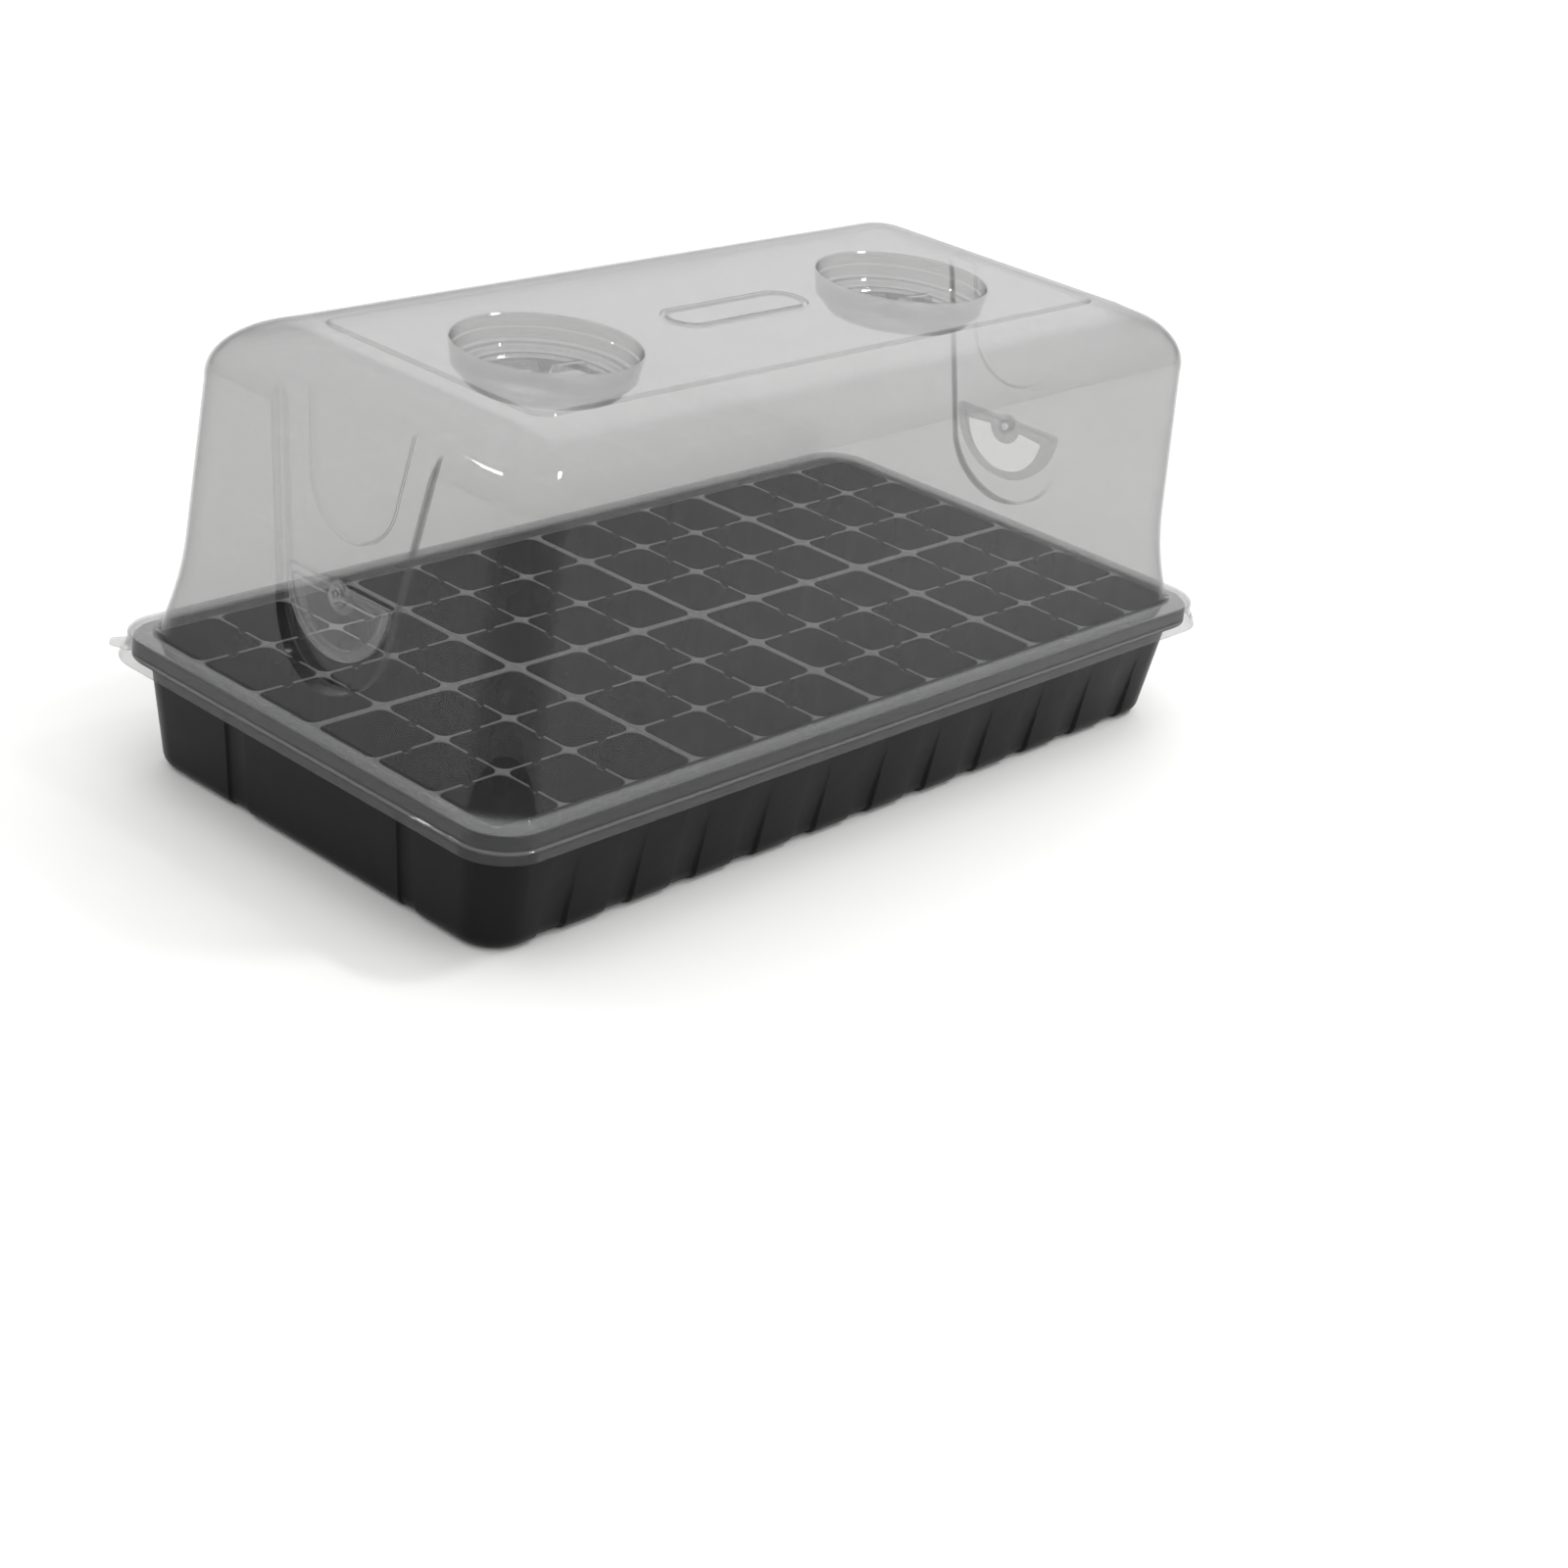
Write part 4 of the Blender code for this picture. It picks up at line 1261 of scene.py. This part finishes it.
@dataclass
class TopVent:
    """A round dial with two grips that turns in the dome's cup, and the snap pin that holds it."""

    dome: Dome
    gap: float = 0.3 * MM
    sheet: float = 1.2 * MM
    grip_reach: float = 27.0 * MM
    grip_width: float = 7.0 * MM
    grip_height: float = 7.0 * MM
    grip_gap: float = 1.2 * MM  # between the pin's head and a grip
    grip_draft: float = 0.62  # width of a grip's top over its foot
    grip_round: float = 1.1 * MM
    pin_radius: float = 3.0 * MM
    head_radius: float = 5.5 * MM
    head_height: float = 1.4 * MM
    edge_round: float = 0.3 * MM
    air_cut: float = 5.0 * MM  # how far the tools of the openings reach over the dial's underside
    bore_cut: float = 9.0 * MM
    cut_below: float = 2.0 * MM

    def dial_profile(self) -> list[tuple[float, float]]:
        """Radius and height from the middle of the top, out over the rim bead and back underneath.

        Returns:
            The points in order.
        """
        top = self.sheet
        return [
            (11.0 * MM, top), (11.4 * MM, top + 0.5 * MM), (12.6 * MM, top + 0.5 * MM),
            (13.0 * MM, top), (31.9 * MM, top), (32.5 * MM, top + 0.3 * MM), (32.9 * MM, top + 1.2 * MM),
            (33.4 * MM, top + 1.5 * MM), (35.3 * MM, top + 1.5 * MM), (35.9 * MM, top + 1.2 * MM),
            (36.2 * MM, top + 0.5 * MM), (36.2 * MM, 0.3 * MM), (35.9 * MM, 0.0),
        ]

    def pin_profile(self) -> list[tuple[float, float]]:
        """Radius and height of the snap pin, from its head down to its barb.

        Returns:
            The points in order.
        """
        head, under = self.sheet + self.gap, -self.dome.sheet - 2 * self.gap - 0.2 * MM
        tip = under - self.head_height
        return [
            (1.9 * MM, head + 0.7 * MM), (2.3 * MM, head + self.head_height - 0.1 * MM),
            (3.2 * MM, head + self.head_height), (4.6 * MM, head + self.head_height - 0.25 * MM),
            (self.head_radius - 0.2 * MM, head + 0.7 * MM), (self.head_radius, head + 0.3 * MM),
            (self.head_radius - 0.2 * MM, head), (self.pin_radius, head), (self.pin_radius, under),
            (self.head_radius, under), (self.head_radius - 0.3 * MM, under - 0.5 * MM),
            (self.pin_radius, tip),
        ]

    def build(self, end: End, finish: ClearSheet) -> None:
        """Moulds the dial and its pin and dresses them.

        Args:
            end: which of the two top vents.
            finish: the clear moulded plastic.
        """
        side = end.name.lower()
        place = self.dome.cup_place(end, self.gap)
        dial = as_object(f"vent_dial_{side}", turned(self.dial_profile(), 96), place)
        clear = self.head_radius + self.grip_gap
        for sign in (-1, 1):
            grip = bar(
                self.grip_reach - clear, self.grip_width, self.sheet / 2, self.grip_height,
                sign * (self.grip_reach + clear) / 2, self.grip_draft, self.grip_round,
            )
            combine(dial, as_object("grip", grip, place), "UNION")
        for turn in (math.pi / 2, 3 * math.pi / 2):
            angle = self.dome.air_angle
            air = sector_block(
                self.dome.air_radii, turn - angle / 2, angle, -self.cut_below, self.air_cut,
            )
            combine(dial, as_object("air", air, place))
        combine(dial, as_object("bore", peg(self.dome.pin_hole, self.bore_cut, -self.cut_below), place))
        soften_edges(dial, self.edge_round, 2, 55)
        material = finish.material()
        dress(dial, material, f"top_vent_dial_{side}", (f"top_vent_dial_{side}",))
        pin = as_object(f"vent_pin_{side}", turned(self.pin_profile(), 40), place)
        dress(pin, material, "dome", (f"top_vent_hub_{side}",))


@dataclass
class EndVent:
    """A half-moon flap with a raised rim that swings in the end recess, and the rivet that holds it."""

    dome: Dome
    gap: float = 0.3 * MM
    radius: float = 35.6 * MM
    straight_edge: float = 4.4 * MM
    corner: float = 2.2 * MM
    inner_corner: float = 1.2 * MM
    sheet: float = 1.2 * MM
    rim_width: float = 4.0 * MM
    rim_height: float = 1.2 * MM
    rib_reach: float = 28.0 * MM
    rib_width: float = 3.2 * MM
    rib_height: float = 3.6 * MM
    boss_radius: float = 6.5 * MM
    boss_rise: float = 0.2 * MM  # over the rim
    boss_round: float = 0.4 * MM
    rib_draft: float = 0.7  # width of a rib's top over its foot
    rib_round: float = 0.7 * MM
    rivet_radius: float = 2.2 * MM
    rivet_head: float = 4.2 * MM
    edge_round: float = 0.35 * MM
    cut_above: float = 9.0 * MM  # how far the bore's tool reaches over the flap's underside
    cut_below: float = 2.0 * MM

    def half_moon(self, inset: float, corner: float, low: float, high: float) -> Any:
        """A half-moon block with rounded corners.

        Args:
            inset: how far it stays inside the flap's outline.
            corner: how far each rounding reaches.
            low: its underside.
            high: its top.

        Returns:
            The bmesh.
        """
        bm = bmesh.new()
        bmesh.ops.create_circle(bm, cap_ends=True, radius=self.radius - inset, segments=68)
        bmesh.ops.translate(bm, vec=(0, self.straight_edge, low), verts=bm.verts)
        edge = self.straight_edge - 0.1 * MM - inset
        bmesh.ops.bisect_plane(
            bm, geom=bm.verts[:] + bm.edges[:] + bm.faces[:], plane_co=ACROSS * edge, plane_no=ACROSS,
            clear_outer=True,
        )
        corners = [vert for vert in bm.verts if vert.co.y > edge - TINY]
        bmesh.ops.bevel(
            bm, geom=corners, affect="VERTICES", offset=corner, segments=5, profile=0.5, material=-1,
            clamp_overlap=True,
        )
        raised(bm, bm.faces[:][0], high - low)
        bmesh.ops.recalc_face_normals(bm, faces=bm.faces)
        return bm

    def rivet_profile(self) -> list[tuple[float, float]]:
        """Radius and height of the rivet, from its dimpled head down to its barb.

        Returns:
            The points in order.
        """
        head = self.sheet + self.rim_height + self.boss_rise + self.gap
        under = -self.dome.sheet - 2 * self.gap - 0.2 * MM
        tip = under - 1.4 * MM
        return [
            (1.5 * MM, head + 0.3 * MM), (1.9 * MM, head + 1.2 * MM), (2.5 * MM, head + 1.4 * MM),
            (3.4 * MM, head + 1.25 * MM), (4.0 * MM, head + 0.8 * MM), (self.rivet_head, head + 0.3 * MM),
            (self.rivet_head - 0.15 * MM, head), (self.rivet_radius, head),
            (self.rivet_radius, under), (self.rivet_head, under),
            (self.rivet_head - 0.3 * MM, under - 0.5 * MM), (self.rivet_radius, tip),
        ]

    def build(self, end: End, finish: ClearSheet) -> None:
        """Moulds the flap and its rivet and dresses them.

        Args:
            end: which end of the dome.
            finish: the clear moulded plastic.
        """
        side = end.name.lower()
        place = self.dome.end_place(end, self.gap)
        flap_top = self.sheet + self.rim_height
        flap = as_object(f"vent_flap_{side}", self.half_moon(0.0, self.corner, 0.0, flap_top), place)
        hollow = self.half_moon(self.rim_width, self.inner_corner, self.sheet, flap_top + MM)
        combine(flap, as_object("hollow", hollow, place))
        boss_top = flap_top + self.boss_rise
        boss = turned([
            (self.boss_radius - self.boss_round, boss_top),
            (self.boss_radius, boss_top - self.boss_round),
            (self.boss_radius, 0.5 * self.sheet),
        ], 48)
        combine(flap, as_object("boss", boss, place), "UNION")
        for sign in (-1, 1):
            rib = bar(
                self.rib_reach - self.boss_radius + self.rib_width, self.rib_width, self.sheet / 2,
                self.sheet + self.rib_height, sign * (self.rib_reach + self.boss_radius) / 2,
                self.rib_draft, self.rib_round,
            )
            combine(flap, as_object("rib", rib, place), "UNION")
        bore = peg(self.dome.rivet_hole, self.cut_above, -self.cut_below)
        combine(flap, as_object("bore", bore, place))
        soften_edges(flap, self.edge_round, 2, 55)
        material = finish.material()
        dress(flap, material, f"end_vent_flap_{side}", (f"end_vent_flap_{side}",))
        rivet = as_object(f"vent_rivet_{side}", turned(self.rivet_profile(), 40), place)
        dress(rivet, material, "dome", (f"end_vent_rivet_{side}",))


# ---------------------------------------------------------------------------------------------
# Studio
# ---------------------------------------------------------------------------------------------


@dataclass
class Studio:
    """A pale floor, a soft overcast room, two soft lamps and the camera."""

    eye: Vector
    aim: Vector  # unit vector that the camera looks along
    roll: float
    lens: float
    window: Vector
    floor_half: float = 20.0
    floor_gap: float = 0.3 * MM
    wall_light: float = 0.62
    ceiling_light: float = 1.34
    window_light: float = 0.75
    lamp_aim: float = 0.12  # height that the lamps face

    def add_floor(self) -> None:
        bm = bmesh.new()
        bmesh.ops.create_grid(bm, x_segments=4, y_segments=4, size=self.floor_half)
        floor = as_object("floor", bm, Matrix.Translation((0, 0, -self.floor_gap)))
        floor.data.materials.append(PaleFloor().material())

    def add_room(self) -> None:
        """Lights the room from a ceiling that is brighter than its walls, and from a big window."""
        world = bpy.data.worlds.new("soft_room")
        bpy.context.scene.world = world
        world.use_nodes = True
        tree = world.node_tree
        tree.nodes.clear()
        place = add_node(tree, "ShaderNodeTexCoord", {}, {}).outputs["Generated"]
        height = add_node(tree, "ShaderNodeSeparateXYZ", {}, {"Vector": place}).outputs["Z"]
        ceiling = add_node(
            tree, "ShaderNodeMapRange", {"interpolation_type": "SMOOTHSTEP"},
            {"Value": height, "From Min": 0.0, "From Max": 0.9,
             "To Min": self.wall_light, "To Max": self.ceiling_light},
        )
        toward = add_node(
            tree, "ShaderNodeVectorMath", {"operation": "DOT_PRODUCT"},
            {0: place, 1: self.window.normalized()},
        )
        window = add_node(
            tree, "ShaderNodeMapRange", {"interpolation_type": "SMOOTHSTEP"},
            {"Value": toward.outputs["Value"], "From Min": 0.87, "From Max": 0.98,
             "To Min": 0.0, "To Max": self.window_light},
        )
        level = add_node(
            tree, "ShaderNodeMath", {"operation": "ADD"}, {0: ceiling.outputs[0], 1: window.outputs[0]},
        )
        sky = add_node(
            tree, "ShaderNodeBackground", {}, {"Color": linear("#fafafa"), "Strength": level.outputs[0]},
        )
        output = add_node(tree, "ShaderNodeOutputWorld", {}, {})
        tree.links.new(sky.outputs[0], output.inputs["Surface"])

    def add_lamp(self, name: str, place: Vector, size: tuple[float, float], power: float) -> None:
        """Args:
            name: the lamp's name.
            place: where it hangs.
            size: its width and height.
            power: its power in watts.
        """
        data = bpy.data.lights.new(name, "AREA")
        data.shape = "RECTANGLE"
        data.size, data.size_y = size
        data.energy = power
        lamp = bpy.data.objects.new(name, data)
        lamp.location = place
        lamp.rotation_mode = "QUATERNION"
        lamp.rotation_quaternion = (UP * self.lamp_aim - place).to_track_quat("-Z", "Y")
        bpy.context.scene.collection.objects.link(lamp)

    def add_camera(self) -> None:
        """Sets up the camera."""
        data = bpy.data.cameras.new("camera")
        data.lens = self.lens
        data.sensor_width = 36.0
        camera = bpy.data.objects.new("camera", data)
        right = self.aim.cross(UP).normalized()
        up = right.cross(self.aim)
        across = math.cos(self.roll) * right + math.sin(self.roll) * up
        over = math.cos(self.roll) * up - math.sin(self.roll) * right
        turn = Matrix((across, over, -self.aim)).transposed().to_4x4()
        camera.matrix_world = Matrix.Translation(self.eye) @ turn
        bpy.context.scene.collection.objects.link(camera)
        bpy.context.scene.camera = camera

    def build(self) -> None:
        """Sets up the floor, the lights and the camera."""
        self.add_floor()
        self.add_room()
        self.add_lamp("back_lamp", Vector((-0.92, 1.38, 1.69)), (0.05, 0.05), 1.2)
        self.add_lamp("front_lamp", Vector((0.91, -0.76, 1.99)), (0.3, 0.2), 12)
        self.add_camera()
        scene = bpy.context.scene
        scene.view_settings.view_transform = "Standard"
        scene.cycles.transparent_max_bounces = 32


def main() -> None:
    """Builds the sub-assemblies, dresses them and sets up the studio."""
    logging.basicConfig(level=logging.INFO, format="%(name)s: %(message)s")
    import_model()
    # The third colour of each black sheet is a painted highlight on its top faces: the tray's rim and the
    # cells' ridges.
    tray_sheet = FormedPolystyrene(
        name="black_polystyrene_tray_sheet", base="#0f0f10", scuffed="#1b1b1c",
        painted_top_highlight="#161617", highlight_above=65.9 * MM, highlight_half=(1.0, 1.0), roughness=(0.3, 0.42), specular=0.1,
    )
    cell_sheet = FormedPolystyrene(
        name="black_polystyrene_cell_sheet", base="#121213", scuffed="#1d1d1f",
        painted_top_highlight="#787979", highlight_above=66.9 * MM, highlight_half=(257.4 * MM, 124.0 * MM),
        roughness=(0.22, 0.34), specular=0.12,
    )
    # The dome sheet's lip value is a painted sheen on the lip's level faces.
    clear_sheet = ClearSheet(
        name="clear_polyester_dome_sheet", tint="#e7e7e7", edge_tint="#8e8e8e",
        haze=(0.002, 0.007), roughness=0.03, lip_top=69.4 * MM, painted_lip_sheen=0.09,
    )
    clear_vent = ClearSheet(
        name="clear_polyester_vent_moulding", tint="#f6f6f6", edge_tint="#a4a4a4",
        haze=(0.01, 0.03), roughness=0.05, ior=1.46,
    )
    Tray().build(tray_sheet)
    CellInsert().build(cell_sheet)
    dome = Dome()
    dome.build(clear_sheet)
    for end in End:
        TopVent(dome).build(end, clear_vent)
        EndVent(dome).build(end, clear_vent)
    Studio(
        eye=Vector((-1.0716, -0.9330, 0.6439)), aim=Vector((0.70610, 0.56651, -0.42484)).normalized(),
        roll=math.radians(8.08), lens=67.45, window=Vector((0.706, 0.566, 0.425)),
    ).build()


if __name__ == "__main__":
    main()
